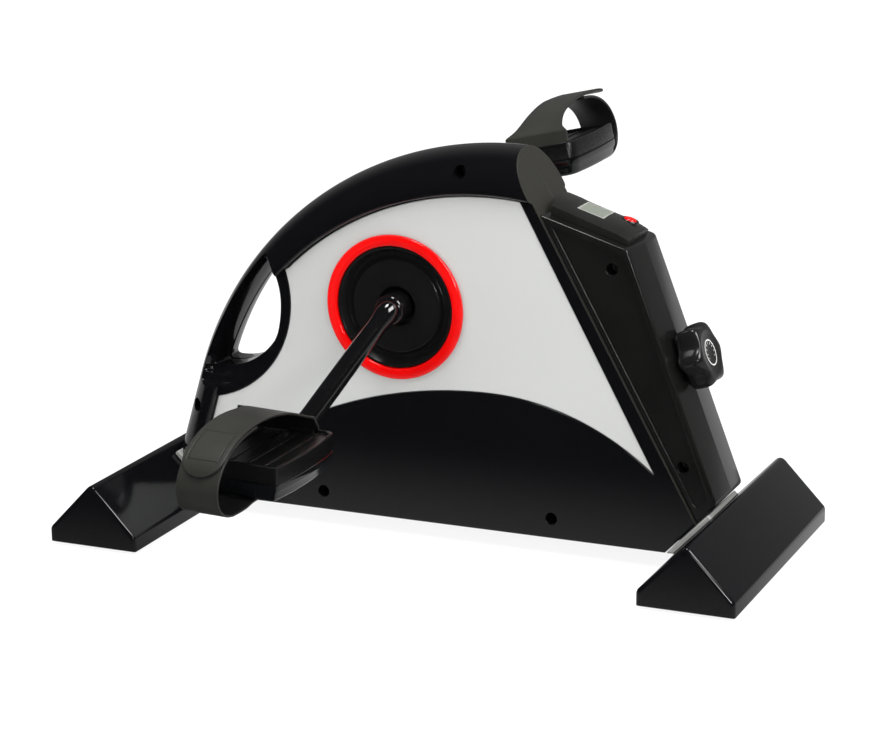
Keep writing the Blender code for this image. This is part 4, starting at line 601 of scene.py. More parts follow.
def opening_directions():
    """Directions round the opening: those over the band, then those over the flat side past the lip."""
    count = 240
    psi = np.linspace(0, 2 * math.pi, count + 1)[:-1]
    flat = past_lip(psi)
    crossings = {}
    for i in np.flatnonzero(flat != np.roll(flat, -1)):
        was_flat = bool(flat[i])
        ends = halved(lambda a: past_lip(a) == was_flat, psi[i], psi[i] + 2 * math.pi / count)
        crossings.setdefault(was_flat, float(sum(ends) / 2) % (2 * math.pi))
    to_flat, to_band = crossings[False], crossings[True]
    near = 2 * math.pi / 700

    def between(start, end):
        span = (end - start) % (2 * math.pi)
        inner = (psi - start) % (2 * math.pi)
        inner = np.sort(inner[(inner > near) & (inner < span - near)])
        return start + np.concatenate([[0.0], inner, [span]])

    return between(to_band, to_flat), between(to_flat, to_band)


def across_steps():
    """Values of t: fine over the screw recesses, with the seam's groove and the level of the flat side."""
    level = DOME * math.asin(HOUSING_HALF / ARCH_HALF_WIDTH) / (math.pi / 2)
    coarse = np.linspace(0.002, DOME, 32)
    fine = np.arange(0.029, 0.0435, 0.0004)
    round_edge = level - np.array([0.0, 0.0005, 0.0011, 0.0018])
    steps = np.concatenate([[0.0, SEAM_GROOVE / 2, SEAM_GROOVE], coarse, fine])
    steps = steps[np.abs(steps[:, None] - round_edge).min(axis=1) > 0.0003]
    steps = np.concatenate([steps, round_edge, DOME + LIP * np.linspace(0, 1, 7)[1:]])
    return np.unique(np.round(steps, 7)), level


def along_steps(low, high):
    """Shares from 0 to 1 of the length from low to high, fine near the screws of the band."""
    values = [np.linspace(low, high, max(2, round(abs(high - low) / 0.0016)))]
    for screw in BAND_SCREWS:
        near = float(from_side(np.array(screw))[0]) + np.arange(-0.0062, 0.0063, 0.0004)
        values.append(near[(near > min(low, high)) & (near < max(low, high))])
    values = np.unique(np.round(np.concatenate(values), 6))
    return np.sort((values - low) / (high - low))


def panel_outline():
    """The silver panel: along the arch band, round the grip's rim, down the strut and over the field."""
    edge = PANEL_MARGIN + BAND_LIP
    s = np.linspace(ARCH_SPAN, 0, 150)
    line = on_side(s, band_depth(s) + edge)
    strut = on_side(np.array([0.0, -0.03]), np.full(2, STRUT_BAND + edge))
    end = CREST_TOP - np.array([PANEL_END / math.cos(math.radians(CREST_LEAN)), 0])
    end_direction = direction(PANEL_LEAN - 90)
    keep = (np.linalg.norm(line - RIM, axis=1) > RIM_RADIUS) & (line[:, 1] > RIM[1])
    from_end = line - end
    keep &= end_direction[0] * from_end[:, 1] - end_direction[1] * from_end[:, 0] < 0
    top = line[keep]
    corner = meeting(top[0], top[0] - top[1], end, end_direction)
    unit = (strut[1] - strut[0]) / np.linalg.norm(strut[1] - strut[0])
    down = strut[0] - RIM
    nearest = down - np.dot(down, unit) * unit
    rim_low = RIM + nearest + unit * math.sqrt(RIM_RADIUS**2 - np.dot(nearest, nearest))
    rim_side = arc(RIM, RIM_RADIUS, angle_of(top[-1], RIM), angle_of(rim_low, RIM) - 360, 60)
    left_centre = (FIELD_TOP_X, FIELD_TOP - FIELD_LEFT_RADIUS)
    right_centre = (FIELD_TOP_X, FIELD_TOP - FIELD_RIGHT_RADIUS)
    low_left = field_crossing(left_centre, FIELD_LEFT_RADIUS, strut[0], unit, -1)
    low_right = field_crossing(right_centre, FIELD_RIGHT_RADIUS, end, end_direction, 1)
    left_arc = arc(left_centre, FIELD_LEFT_RADIUS, angle_of(low_left, left_centre), 90, 60)
    right_arc = arc(right_centre, FIELD_RIGHT_RADIUS, 90, angle_of(low_right, right_centre), 50)
    return clipped(np.concatenate([left_arc, right_arc[1:], [corner], top[1:-1], rim_side]))


def field_crossing(centre, radius, point, along, side):
    """Where a line crosses a circle, on the wanted side of the circle's top."""
    from_centre = np.subtract(point, centre)
    middle = -np.dot(from_centre, along)
    half = math.sqrt(radius**2 - np.dot(from_centre, from_centre) + middle**2)
    ends = [np.add(point, (middle + s * half) * along) for s in (-1, 1)]
    return max(ends, key=lambda p: p[1] if side * (p[0] - centre[0]) > 0 else -1)


def clipped(outline):
    """The outline with what lies under the slopes of the feet cut off."""
    for side_x in (-1, 1):
        point, along = slope_line(side_x, FOOT_CLEARANCE + GAP)
        normal = np.array([-along[1], along[0]]) * side_x
        result = []
        for p, q in zip(outline, np.roll(outline, -1, axis=0)):
            a, b = (p - point) @ normal, (q - point) @ normal
            if a > 0:
                result.append(p)
            if (a > 0) != (b > 0):
                result.append(p + (q - p) * a / (a - b))
        outline = np.array(result)
    return outline


def ring_of(centre, radius, y, steps=64):
    return at_y(arc(centre, radius, 0, 360, steps)[:-1], y)


def lip_point(s, side):
    """The foot of the lip, where the band meets the flat side."""
    return band_point(s, np.full(np.shape(s), DOME + LIP), side)


def rounded_hole(skin, outline, side, top, floor, edge):
    """A pocket's edge and wall from the face at top down to floor. Returns its top and floor loops."""
    rows = [at_y(offset(outline, out), side * (top - deep)) for deep, out in quarter(edge, 3)]
    rows.append(at_y(outline, side * floor))
    skin.grid(np.array(rows), round_columns=True)
    return rows[0], rows[-1]


def recess(skin, centre, side, top):
    """A round screw recess in a flat side. Returns its loop on the face."""
    outline = arc(centre, RECESS_RADIUS, 0, 360, 32)[:-1]
    rim, floor = rounded_hole(skin, outline, side, top, SCREW_SEAT, 0.0004)
    skin.face([floor])
    return rim


def margin_at(points):
    return opening_margin(points[..., [0, 2]], np.abs(points[..., 1]))


def opening_patch(skin, side, t, band_psi):
    """The band beside the hand grip, its points and the opening's edge joined into triangles. Returns the
    values of s where its points reach the lip, above the opening and below it."""
    edge, _ = opening_edge(band_psi)
    s_edge, depth = from_side(edge)
    band = band_depth(s_edge)
    t_dome = DOME * np.arccos(np.clip(1 - depth / band, -1, 1)) / (math.pi / 2)
    t_lip = DOME + LIP * np.arcsin(np.clip((depth - band) / BAND_LIP, 0, 1)) / (math.pi / 2)
    t_edge = np.where(depth < band, t_dome, t_lip)
    t_edge[[0, -1]] = DOME + LIP
    s_grid, t_grid = np.meshgrid(np.linspace(PATCH_HIGH, PATCH_LOW, 110), t, indexing="ij")
    keep = margin_at(band_point(s_grid, t_grid, side)) < -0.0004
    points = np.concatenate([np.stack([s_edge, t_edge], 1), np.stack([s_grid[keep], t_grid[keep]], 1)])
    links = [(i, i + 1) for i in range(len(s_edge) - 1)]
    made = delaunay_2d_cdt([Vector(p) for p in points], links, [], 0, 1e-7, False)
    flat = np.array([tuple(p) for p in made[0]])
    faces = np.array(made[2])
    s, t = flat[faces].mean(axis=1).T
    low, high = np.sort([s_edge[0], s_edge[-1]])
    over_flat_side = (t > DOME + LIP * 0.9) & (s > low) & (s < high)
    used = (margin_at(band_point(s, t, side)) < 0.0002) & ~over_flat_side
    skin.triangles(band_point(flat[:, 0], flat[:, 1], side), faces[used])
    lips = np.sort(s_grid[keep & (t_grid >= DOME + LIP - 1e-9)])
    return lips[lips > high], lips[lips < low]


def housing_side(skin, side):
    """One side of the housing: band, grip, flat side with its pocket, and recesses."""
    t, _ = across_steps()

    def stretch(low, high):
        shares = along_steps(float(np.mean(low)), float(np.mean(high)))[:, None]
        s = low + (high - low) * shares
        skin.grid(band_point(s, t + 0 * s, side))
        return s[:, -1]

    crest_lip = stretch(crest_end(*across(t)), PATCH_HIGH)
    foot_lip = stretch(PATCH_LOW, foot_end(*across(t)))
    band_psi, flat_psi = opening_directions()
    above, below = opening_patch(skin, side, t, band_psi)
    flat_edge, _ = opening_edge(flat_psi)
    if from_side(flat_edge[0])[0] < from_side(flat_edge[-1])[0]:
        flat_edge = flat_edge[::-1]
    upper = np.concatenate([crest_lip, above[::-1][1:]])
    lower = np.concatenate([below[::-1], foot_lip[1:]])
    y = side * HOUSING_HALF
    flat_side = [at_y(flat_edge, y), lip_point(lower, side), at_y(housing_corners(HOUSING_HALF), y)]
    pocket = offset(panel_outline(), GAP)
    pocket_rim, pocket_floor = rounded_hole(skin, pocket, side, HOUSING_HALF, PANEL_FLOOR, 0.0006)
    recesses = [recess(skin, p, side, HOUSING_HALF) for p in FIELD_SCREWS] if side < 0 else []
    skin.face([np.concatenate([lip_point(upper, side), *flat_side]), pocket_rim, *recesses])
    well = [ring_of(CRANK, RING_INNER - COVER_WALL, side * level) for level in (PANEL_FLOOR, WELL_FLOOR)]
    skin.grid(np.array(well), round_columns=True)
    skin.face([pocket_floor, well[0]])
    skin.face([well[1]])


def housing_corners(half):
    """Corners of the flat side's lower edge: over the two feet and on the crest plane."""
    inset = float(edge_inset(np.array(half)))
    floor = (0, HOUSING_FLOOR + inset)
    left, left_along = slope_line(-1, FOOT_CLEARANCE + inset)
    right, right_along = slope_line(1, FOOT_CLEARANCE + inset)
    crest = CREST_TOP - np.array([SWEEP_BACK * half, 0])
    low = [meeting(floor, (1, 0), left, left_along), meeting(floor, (1, 0), right, right_along)]
    return np.array([*low, meeting(right, right_along, crest, CREST_DIRECTION)])


def housing_ends(skin, side):
    """The underside and the crest's end face, row by row out from the middle plane."""
    t, level = across_steps()
    inner, outer = t[t <= level + 1e-9], t[t >= level - 1e-9]
    share, lip, half = across(inner)
    one = np.ones(len(inner))
    groove = np.where(inner < SEAM_GROOVE / 2, SEAM_GROOVE, 0.0)

    def line(find_end, share, lip, sunk=0.0):
        s = find_end(share, lip, half)
        return on_side(s, share * band_depth(s) + lip * BAND_LIP + sunk)

    crest, foot = (line(find_end, share, lip, groove) for find_end in (crest_end, foot_end))
    crest_inner, foot_inner = (line(find_end, one, one) for find_end in (crest_end, foot_end))
    sunk = groove[:, None] * CREST_NORMAL
    rows = []
    for i, y in enumerate(half):
        corners = housing_corners(y)
        corners[-1] -= sunk[i]
        row = [foot[i], foot_inner[i], *corners, crest_inner[i] - sunk[i], crest[i]]
        rows.append(at_y(row, side * y))
    skin.grid(np.array(rows))
    for find_end in (crest_end, foot_end):
        skin.face([band_point(find_end(*across(outer)), outer, side)])


def opening_walls(skin):
    """The opening's wall from the left skin to the right one, with the seam's groove in the middle."""
    psi = np.concatenate([directions[:-1] for directions in opening_directions()])
    _, half = opening_edge(psi)
    middle = [0, SEAM_HALF, SEAM_HALF + 0.0001, 0.004, 0.008, 0.012, 0.016]
    flare = np.arange(0.0190, 0.0320, 0.0005), np.arange(0.0320, HOUSING_HALF, 0.00025)
    levels = np.concatenate([middle, *flare, [HOUSING_HALF, ARCH_HALF_WIDTH + 0.001]])
    rows = []
    for level in np.concatenate([-levels[:0:-1], levels]):
        y = np.sign(level) * np.minimum(abs(level), half)
        wall = opening_wall(psi, np.abs(y))
        if abs(level) <= SEAM_HALF:
            away = wall - OPENING_MIDDLE
            wall += SEAM_DEEP * away / np.linalg.norm(away, axis=1)[:, None]
        rows.append(np.stack([wall[:, 0], y, wall[:, 1]], 1))
    skin.grid(np.array(rows), round_columns=True)


def build_housing(material):
    skin = Skin()
    for side in (-1, 1):
        housing_side(skin, side)
        housing_ends(skin, side)
    opening_walls(skin)
    nodes = ["left_housing_shell", "right_housing_shell"]
    return skin.piece("housing", material, "base", nodes, 42)


def build_panel(side, material):
    """The silver inlay, its edge rounded, with the ring's round hole."""
    outline = panel_outline()
    skin = Skin()
    rows = [at_y(outline, side * PANEL_IN)]
    for inset, back in quarter(0.0005, 3):
        rows.append(at_y(offset(outline, -inset), side * (PANEL_OUT - back)))
    skin.grid(np.array(rows), round_columns=True)
    hole = [ring_of(CRANK, RING_INNER + RING_SPIGOT + GAP, side * y, 128) for y in (PANEL_OUT, PANEL_IN)]
    skin.grid(np.array(hole), round_columns=True)
    skin.face([rows[-1], hole[0]])
    skin.face([rows[0], hole[1]])
    name = SIDE[side]
    return skin.piece(f"{name}_silver_panel", material, "base", [f"{name}_side_panel"])


def build_ring(side, material):
    """The red ring: a flat bead over a spigot."""
    base = PANEL_OUT + GAP
    spigot = RING_INNER + RING_SPIGOT
    middle, reach = (RING_RADIUS + RING_INNER) / 2, (RING_RADIUS - RING_INNER) / 2
    rise = RING_RISE - RING_FLANK
    profile = [(RING_INNER, PANEL_IN), (spigot, PANEL_IN), (spigot, base), (RING_RADIUS, base)]
    for a in np.radians(np.linspace(0, 180, 25)):
        profile.append((middle + reach * math.cos(a), base + RING_FLANK + rise * math.sin(a) ** 0.75))
    skin = Skin()
    skin.turn(profile, crank_point(side, 0, 0), (0, side, 0), 144, closed=True)
    name = SIDE[side]
    return skin.piece(f"{name}_red_ring", material, "base", [f"{name}_bezel_ring"])


def build_cover(side, material):
    """The dished cover: a flange inside the ring, a groove and a raised disc with the crank's hole."""
    flange = RING_INNER - GAP
    sunk = flange - COVER_WALL
    floor = PANEL_FLOOR - COVER_DISH
    disc = PANEL_FLOOR - 0.0005
    top = PANEL_OUT + RING_RISE * 0.35
    outside = [(flange, PANEL_IN), (flange, top), (flange - COVER_WALL, top)]
    groove = [(sunk - COVER_WALL - COVER_STEP, floor), (COVER_DISC_RADIUS + COVER_STEP, floor)]
    middle = [(COVER_DISC_RADIUS, disc), (CRANK_HOLE, disc), (CRANK_HOLE, floor - COVER_WALL)]
    back = [(sunk, floor - COVER_WALL), (sunk, PANEL_IN)]
    radii = [0, 0.0006, 0.0008, 0.0012, 0.0012, 0.0012, 0.0010, 0, 0, 0]
    profile = softened(outside + groove + middle + back, radii, 5)
    skin = Skin()
    skin.turn(profile, crank_point(side, 0, 0), (0, side, 0), 144, closed=True)
    name = SIDE[side]
    return skin.piece(f"{name}_disc_cover", material, "base", [f"{name}_round_cover"])


# Crank


def crank_point(side, share, y):
    """The point at a share of the crank's length and y outwards."""
    x, z = CRANK + CRANK_LENGTH * share * direction(CRANK_ANGLE) * (-side)
    return np.array([x, side * y, z])


def build_arm(side, material):
    """The bent rod, thicker where it runs into its hub and into the boss at the pedal."""
    ends = (0, HUB_IN + 0.004), (0, HUB_OUT - 0.001), (1, ARM_END_IN + 0.004), (1, ARM_END_OUT - 0.003)
    corners = [crank_point(side, share, y) for share, y in ends]
    path = softened(corners, [0, ROD_BEND, ROD_BEND, 0], 12, closed=False)
    straight = path[13] + (path[14] - path[13]) * np.linspace(0, 1, 30)[1:-1, None]
    path = np.concatenate([path[:14], straight, path[14:]])
    run = lengths_along(path)
    radii = ROD_RADIUS + 0.0028 * (1 - smooth_step(run, 0.008, 0.030))
    radii += 0.0016 * smooth_step(run, run[-1] - 0.026, run[-1] - 0.010)
    radii[0] = radii[-1] = 1e-7
    radii[1] *= 0.9
    at, end = crank_point(side, 0, 0), crank_point(side, 1, 0)
    level = np.cross(end - at, (0, 1.0, 0))
    skin = Skin()
    skin.tube(sweep(path, radii, level / np.linalg.norm(level)))
    hub = [(0, HUB_IN), (HUB_RADIUS, HUB_IN), (HUB_RADIUS, HUB_OUT), (0, HUB_OUT)]
    skin.turn(softened(hub, [0, 0.001, 0.0055, 0], 8, closed=False), at, (0, side, 0), 48)
    boss = [(0, ARM_END_IN), (ARM_END_RADIUS, ARM_END_IN), (ARM_END_RADIUS, ARM_END_OUT), (0, ARM_END_OUT)]
    skin.turn(softened(boss, [0, 0.004, 0.002, 0], 8, closed=False), end, (0, side, 0), 48)
    return skin.piece(f"{SIDE[side]}_arm", material, "crank", [f"{SIDE[side]}_crank_arm"])


# Pedals, in their own frame: x along the foot, y outwards, z up


def pedal_place(side, points):
    """Points of the pedal's frame, pitched and set on the crank's end."""
    points = np.array(points, float) * np.array([1, side, 1])
    pitch = Matrix.Rotation(math.radians(PEDAL_PITCH[side]), 4, "Y")
    return moved(points, Matrix.Translation(Vector(crank_point(side, 1, PEDAL_MIDDLE))) @ pitch)


def pedal_plan(shrink):
    """A pedal from above: a bulged front, a square outer corner and rounded inner ones."""
    half = PEDAL_LENGTH / 2 - shrink
    wide = PEDAL_WIDTH / 2 - shrink
    t = np.linspace(-0.85, 0.97, 24)
    front = np.stack([half + PEDAL_BULGE * (1 - t * t), wide * t], 1)
    inner = arc((half - PEDAL_CORNER, -wide + PEDAL_CORNER), PEDAL_CORNER, 270, 340, 8)
    corner = [(half - 0.0001, wide * 0.99), (half - 0.0010, wide - 0.0001)]
    outer_rear = arc((-half + PEDAL_REAR, wide - PEDAL_REAR), PEDAL_REAR, 90, 180, 12)
    inner_rear = arc((-half + PEDAL_CORNER, -wide + PEDAL_CORNER), PEDAL_CORNER, 180, 270, 6)
    return np.concatenate([inner, front, corner, outer_rear, inner_rear])


def flat_loop(side, plan, z):
    """A plan of the pedal's frame at a height, in space."""
    return pedal_place(side, np.column_stack([plan, np.full(len(plan), z)]))


def build_pedal(side, materials):
    """The tapered body and the tray with its treads, a seam apart."""
    name = SIDE[side]
    body = f"{name}_pedal"
    half = PEDAL_HEIGHT / 2
    split = 0.00015
    floor = half - TRAY_DEPTH
    base = Skin()
    levels = [(PEDAL_TAPER + 0.0014, -half), (PEDAL_TAPER + 0.0004, -half + 0.0003)]
    levels += [(PEDAL_TAPER - 0.0004, -half + 0.0010), (PEDAL_TAPER - 0.0012, -half + 0.0025)]
    levels += [(0.0016, -half * 0.55), (0.0005, -half * 0.40), (0.0, -half * 0.30)]
    levels += [(0.0, -split - 0.0004), (0.0004, -split)]
    base.tube(np.array([flat_loop(side, pedal_plan(inset), z) for inset, z in levels]))
    base.piece(f"{name}_pedal_body", materials["gloss"], body, [f"{name}_pedal_base"])
    top = Skin()
    levels = [(0.0004, split), (0.0, split + 0.0004), (0.0, half - 0.0014), (0.0003, half - 0.0005)]
    levels += [(0.0010, half), (TRAY_RIM - 0.0008, half), (TRAY_RIM - 0.0002, half - 0.0005)]
    levels += [(TRAY_RIM, floor + 0.0004), (TRAY_RIM + 0.0005, floor)]
    top.tube(np.array([flat_loop(side, pedal_plan(inset), z) for inset, z in levels]))
    pitch = (PEDAL_LENGTH - 4 * TRAY_RIM) / TREAD_COUNT
    corner = np.array([TREAD_WIDTH / 2, PEDAL_WIDTH / 2 - 3 * TRAY_RIM])
    tread = softened(corner * [(-1, -1), (1, -1), (1, 1), (-1, 1)], 0.0014, 5)
    for k in range(TREAD_COUNT):
        place = np.array([(k - (TREAD_COUNT - 1) / 2) * pitch, 0])
        levels = [(0, -0.0006), (0, 0.0004), (0.0003, 0.0007), (0.0008, 0.0008)]
        rows = [flat_loop(side, offset(tread, -inset) + place, floor + up) for inset, up in levels]
        top.tube(np.array(rows))
    top.piece(f"{name}_pedal_tray", materials["matte"], body, [f"{name}_pedal_top"])


def ribbon(side, stations, name, material, node, has_tail=0):
    """A strap with round edges. Each station is (y, z, lowest x, highest x), with y outwards from the crank.
    Its marks are the share of the width or -1 on the inside, where the material paints shade, the length left
    to its end, and 1 for a tail."""
    stations = np.array(stations)
    half = STRAP_THICKNESS / 2
    run = lengths_along(stations[:, :2])
    rows = []
    marks = []
    for (y, z, x0, x1), (ahead_y, ahead_z), passed in zip(stations, ahead_of(stations[:, :2]), run):
        width = max(x1 - x0, 0.002)
        section = softened([(x0, -half), (x0 + width, -half), (x0 + width, half), (x0, half)], 0.0008, 4)
        rows.append(pedal_place(side, [(x, y - out * ahead_z, z + out * ahead_y) for x, out in section]))
        left = run[-1] - passed
        marks.append([((x - x0) / width if out > 0 else -1, left, has_tail) for x, out in section])
    skin = Skin()
    skin.tube(np.array(rows), np.array(marks, float))
    return skin.piece(name, material, f"{SIDE[side]}_pedal", [node])


# A strap's middle line from the slot inside the pedal over the foot and round below, as (y, z)
STRAP_LOOP = [
    (-PEDAL_WIDTH / 2 + 0.0055, PEDAL_HEIGHT / 2 + 0.0070),
    (-0.0300, 0.0245), (-0.0090, 0.0318), (0.0160, 0.0365), (0.0400, 0.0378), (0.0620, 0.0352),
    (0.0800, 0.0290), (0.0930, 0.0190), (0.0985, 0.0060), (0.0940, -0.0070), (0.0820, -0.0140),
    (0.0660, -0.0165),
]
# Where the lower strap goes on, flat under the pedal
STRAP_END = [(0.0560, -0.0160), (0.0460, -0.0148), (0.0360, -0.0147)]


def lower_strap(side, material):
    """The strap that is fixed under the pedal and comes up round its outer side."""
    shift = STRAP_SHIFT[side]
    line = spline(np.concatenate([spline(STRAP_LOOP, 3)[12:-1], STRAP_END]), 4)
    stations = [(y, z, STRAP_BACK + shift, STRAP_FRONT + shift) for y, z in line]
    ribbon(side, stations, f"{SIDE[side]}_lower_strap", material, f"{SIDE[side]}_strap_outer")


def upper_strap(side, material):
    """The strap from the slot inside the pedal. It is flared over the foot, lies on the lower one and ends in
    a round tail. The left one has an ear at its rear edge, and the right one's tail hangs straight."""
    line = spline(STRAP_LOOP, 3)
    along = ahead_of(line)
    loop = (line + (STRAP_THICKNESS + GAP) * np.stack([-along[:, 1], along[:, 0]], 1))[:23]
    if side > 0:
        first = loop[STRAP_TAIL_FROM]
        k = np.arange(len(loop) - STRAP_TAIL_FROM)
        pitch = (loop[-1][0] - first[0]) / k[-1]
        loop[STRAP_TAIL_FROM:] = np.stack([first[0] + pitch * k, first[1] - STRAP_TAIL_DROP * k * k], 1)
    flare_length, flare_power = STRAP_FLARE_SHAPE[side]
    flare = np.maximum(0, 1 - np.arange(len(loop)) / flare_length) ** flare_power
    back, front = STRAP_FLARE[side]
    low = STRAP_BACK + (back - STRAP_BACK) * flare
    high = STRAP_FRONT + (front - STRAP_FRONT) * flare
    fine = spline(np.column_stack([loop, low, high]), 6)
    i = np.linspace(0, len(loop) - 1, len(fine))
    if side < 0:
        reach = np.where(i < STRAP_EAR_AT, 2.4, 0.7)
        fine[:, 2] -= STRAP_EAR * np.clip(1 - np.abs(i - STRAP_EAR_AT) / reach, 0, 1) ** 1.4
    else:
        fine[:, 1] -= STRAP_TIP_DROP * smooth_step(i, 17, 22)
    shift = STRAP_SHIFT[side]
    fine[:, 2:] += shift
    narrow = np.sqrt(np.maximum(1 - np.maximum(0.0, (i - len(loop) + 4) / 3.02) ** 2, 0.0004))
    middle = (STRAP_BACK + STRAP_FRONT) / 2 + shift
    fine[:, 2:] = middle + (fine[:, 2:] - middle) * narrow[:, None]
    y = -PEDAL_WIDTH / 2 + STRAP_INSET
    top = PEDAL_HEIGHT / 2
    stations = [(y, top - STRAP_SLOT_DEPTH + GAP, *STRAP_TONGUE), (y, top + GAP, *STRAP_TONGUE)]
    stations += [(y, top + 2 * GAP, back, front), (y + 0.0005, top + 0.003, back, front), *fine]
    ribbon(side, stations, f"{SIDE[side]}_upper_strap", material, f"{SIDE[side]}_strap_inner", 1)


# Feet


def foot_section(inset):
    """A foot across its length, with a round ridge and soft edges."""
    half = FOOT_HALF - inset
    slope = math.radians(FOOT_SLOPE)
    ridge = FOOT_RIDGE - inset / math.cos(slope)
    shoulder = ridge - half * math.tan(slope)
    floor = PAD_HEIGHT + inset * 0.5
    corners = [(-half, floor), (half, floor), (half, shoulder), (0, ridge), (-half, shoulder)]
    return softened(corners, [0.0010, 0.0010, 0.0022, FOOT_RIDGE_RADIUS, 0.0022], 8)


def build_foot(side_x, material):
    """A foot's cover with round ends, and the saddle on its inner slope that the housing stands on."""
    end = FOOT_LENGTHS[side_x] / 2
    centre = np.array([side_x * FOOT_X, 0])
    skin = Skin()
    skin.prism(lambda inset: centre + foot_section(inset), -end, end, FOOT_EDGE, 4)
    inside, along = slope_line(side_x, -FOOT_WALL / 3)
    outside, _ = slope_line(side_x, FOOT_CLEARANCE - 2 * GAP)
    low = [meeting((0, HOUSING_FLOOR), (1, 0), line, along) for line in (inside, outside)]
    high = [line - along * SADDLE_END for line in (inside, outside)]
    saddle = np.array([low[0], high[0], high[1], low[1]])
    if np.cross(saddle[1] - saddle[0], saddle[2] - saddle[1]) < 0:
        saddle = saddle[::-1]
    saddle = softened(saddle, 0.0012, 4)
    half = HOUSING_HALF - GAP
    skin.prism(lambda inset: offset(saddle, -inset), -half, half, 0.0010, 3)
    name = "console" if side_x > 0 else "handle"
    return skin.piece(f"{name}_foot", material, "base", [f"{name}_foot_cover"])


# Console box, knob and computer

BOX_TOP_DIRECTION = direction(-BOX_TOP_SLOPE)
BOX_TOP_NORMAL = direction(90 - BOX_TOP_SLOPE)
BOX_FRONT_DIRECTION = direction(BOX_FRONT_LEAN - 90)
BOX_FRONT_NORMAL = direction(BOX_FRONT_LEAN)


def box_corners(distance, insets=(0, 0, 0, 0)):
    """The box in the side view, its foot, front, top and crest edges moved in by the insets."""
    back = np.array([SWEEP_BACK * distance, 0])
    slope, along = slope_line(1, FOOT_CLEARANCE)
    rear = CREST_TOP + np.array([GAP / math.cos(math.radians(CREST_LEAN)), 0]) - back
    foot_line = (slope + insets[0] * np.array([-along[1], along[0]]), along)
    front_line = (BOX_FRONT - back - insets[1] * BOX_FRONT_NORMAL, BOX_FRONT_DIRECTION)
    top_line = (BOX_FRONT - insets[2] * BOX_TOP_NORMAL, BOX_TOP_DIRECTION)
    crest_line = (rear + insets[3] * CREST_NORMAL, CREST_DIRECTION)
    pairs = ((foot_line, crest_line), (foot_line, front_line), (top_line, front_line), (top_line, crest_line))
    return np.array([meeting(*a, *b) for a, b in pairs])


def box_loop(distance, inset):
    return softened(box_corners(distance, (inset,) * 4), (0.001, 0.003, 0.0025, 0.001), 6)


def build_box(material):
    """The console box: a folded front, round edges, a recess in each side and a seam down the middle."""
    rows = [at_y(box_loop(0, SEAM_GROOVE), 0), at_y(box_loop(0.0002, 0), 0.0002)]
    rows += [at_y(box_loop(BOX_HALF - back, inset), BOX_HALF - back) for inset, back in quarter(0.0016, 4)]
    mirror = np.array([1, -1, 1])
    skin = Skin()
    skin.grid(np.array([row * mirror for row in rows[:0:-1]] + rows), round_columns=True)
    pocket = softened(box_corners(BOX_HALF, (BOX_FOOT_RIM, BOX_RIM, BOX_RIM, BOX_RIM)), 0.004, 8)
    floor_y = BOX_HALF - BOX_SIDE_RECESS
    for side in (-1, 1):
        rim, floor = rounded_hole(skin, pocket, side, BOX_HALF, floor_y, 0.0007)
        skin.face([rows[-1] * np.array([1, side, 1]), rim])
        recesses = [recess(skin, p, side, floor_y) for p in BOX_SCREWS] if side < 0 else []
        skin.face([floor, *recesses])
    return skin.piece("console_box", material, "base", ["left_box_cover", "right_box_cover"])


def knob_axis():
    """The middle of the knob's foot on the box's front, and the way that the knob stands out."""
    down = (BOX_FRONT[1] - KNOB_HEIGHT) / math.cos(math.radians(BOX_FRONT_LEAN))
    at = BOX_FRONT + BOX_FRONT_DIRECTION * down
    return (at[0], 0, at[1]), (BOX_FRONT_NORMAL[0], 0, BOX_FRONT_NORMAL[1])


# The knob's height, share of its radius and share of the waist between its lobes
KNOB_LEVELS = np.array([
    (0.0012, 0.0, 0.0), (0.0012, 0.82, 1.0), (0.0022, 0.88, 1.0), (0.0045, 0.955, 1.0),
    (0.0080, 0.985, 1.0), (0.0120, 0.995, 1.0), (0.0150, 0.995, 1.0), (0.0172, 0.975, 0.92),
    (0.0190, 0.935, 0.8), (0.0203, 0.88, 0.6), (0.0209, 0.82, 0.4), (KNOB_TALL, 0.74, 0.2),
    (KNOB_TALL, 0.66, 0.05), (KNOB_TALL - 0.0003, 0.58, 0.0), (KNOB_TALL - 0.0007, 0.0, 0.0),
])


def build_knob(material):
    """The lobed knob: r = R share - waist w(a), with scooped flanks, round shoulders and a dished face."""
    fine = np.concatenate([KNOB_LEVELS[:1], spline(KNOB_LEVELS[1:-1], 3), KNOB_LEVELS[-1:]])
    height, share, waist = np.hsplit(fine, 3)
    a = np.linspace(0, 2 * math.pi, 168, endpoint=False)
    scoop = (0.5 - 0.5 * np.cos(KNOB_LOBES * a)) ** 0.8
    r = np.maximum(KNOB_RADIUS * share - KNOB_WAIST * waist * scoop, 0)
    points = np.stack([r * np.cos(a), r * np.sin(a), height + 0 * a], -1)
    at, towards = knob_axis()
    skin = Skin()
    skin.grid(moved(points, axis_frame(at, towards)), round_columns=True)
    skin.turn([(0, -0.010), (0.004, -0.010), (0.004, 0.003), (0, 0.003)], at, towards, 32)
    return skin.piece("knob_grip", material, "knob", ["tension_knob"], 50)


def computer_start():
    return box_corners(0)[3] + BOX_TOP_DIRECTION * COMPUTER_START + BOX_TOP_NORMAL * GAP


def on_top(along, sideways, up):
    """Points laid on the box's slanted top: along it, across it and above it."""
    x, z = (
        start + ahead * along + normal * up
        for start, ahead, normal in zip(computer_start(), BOX_TOP_DIRECTION, BOX_TOP_NORMAL)
    )
    return np.stack(np.broadcast_arrays(x, sideways, z), -1)


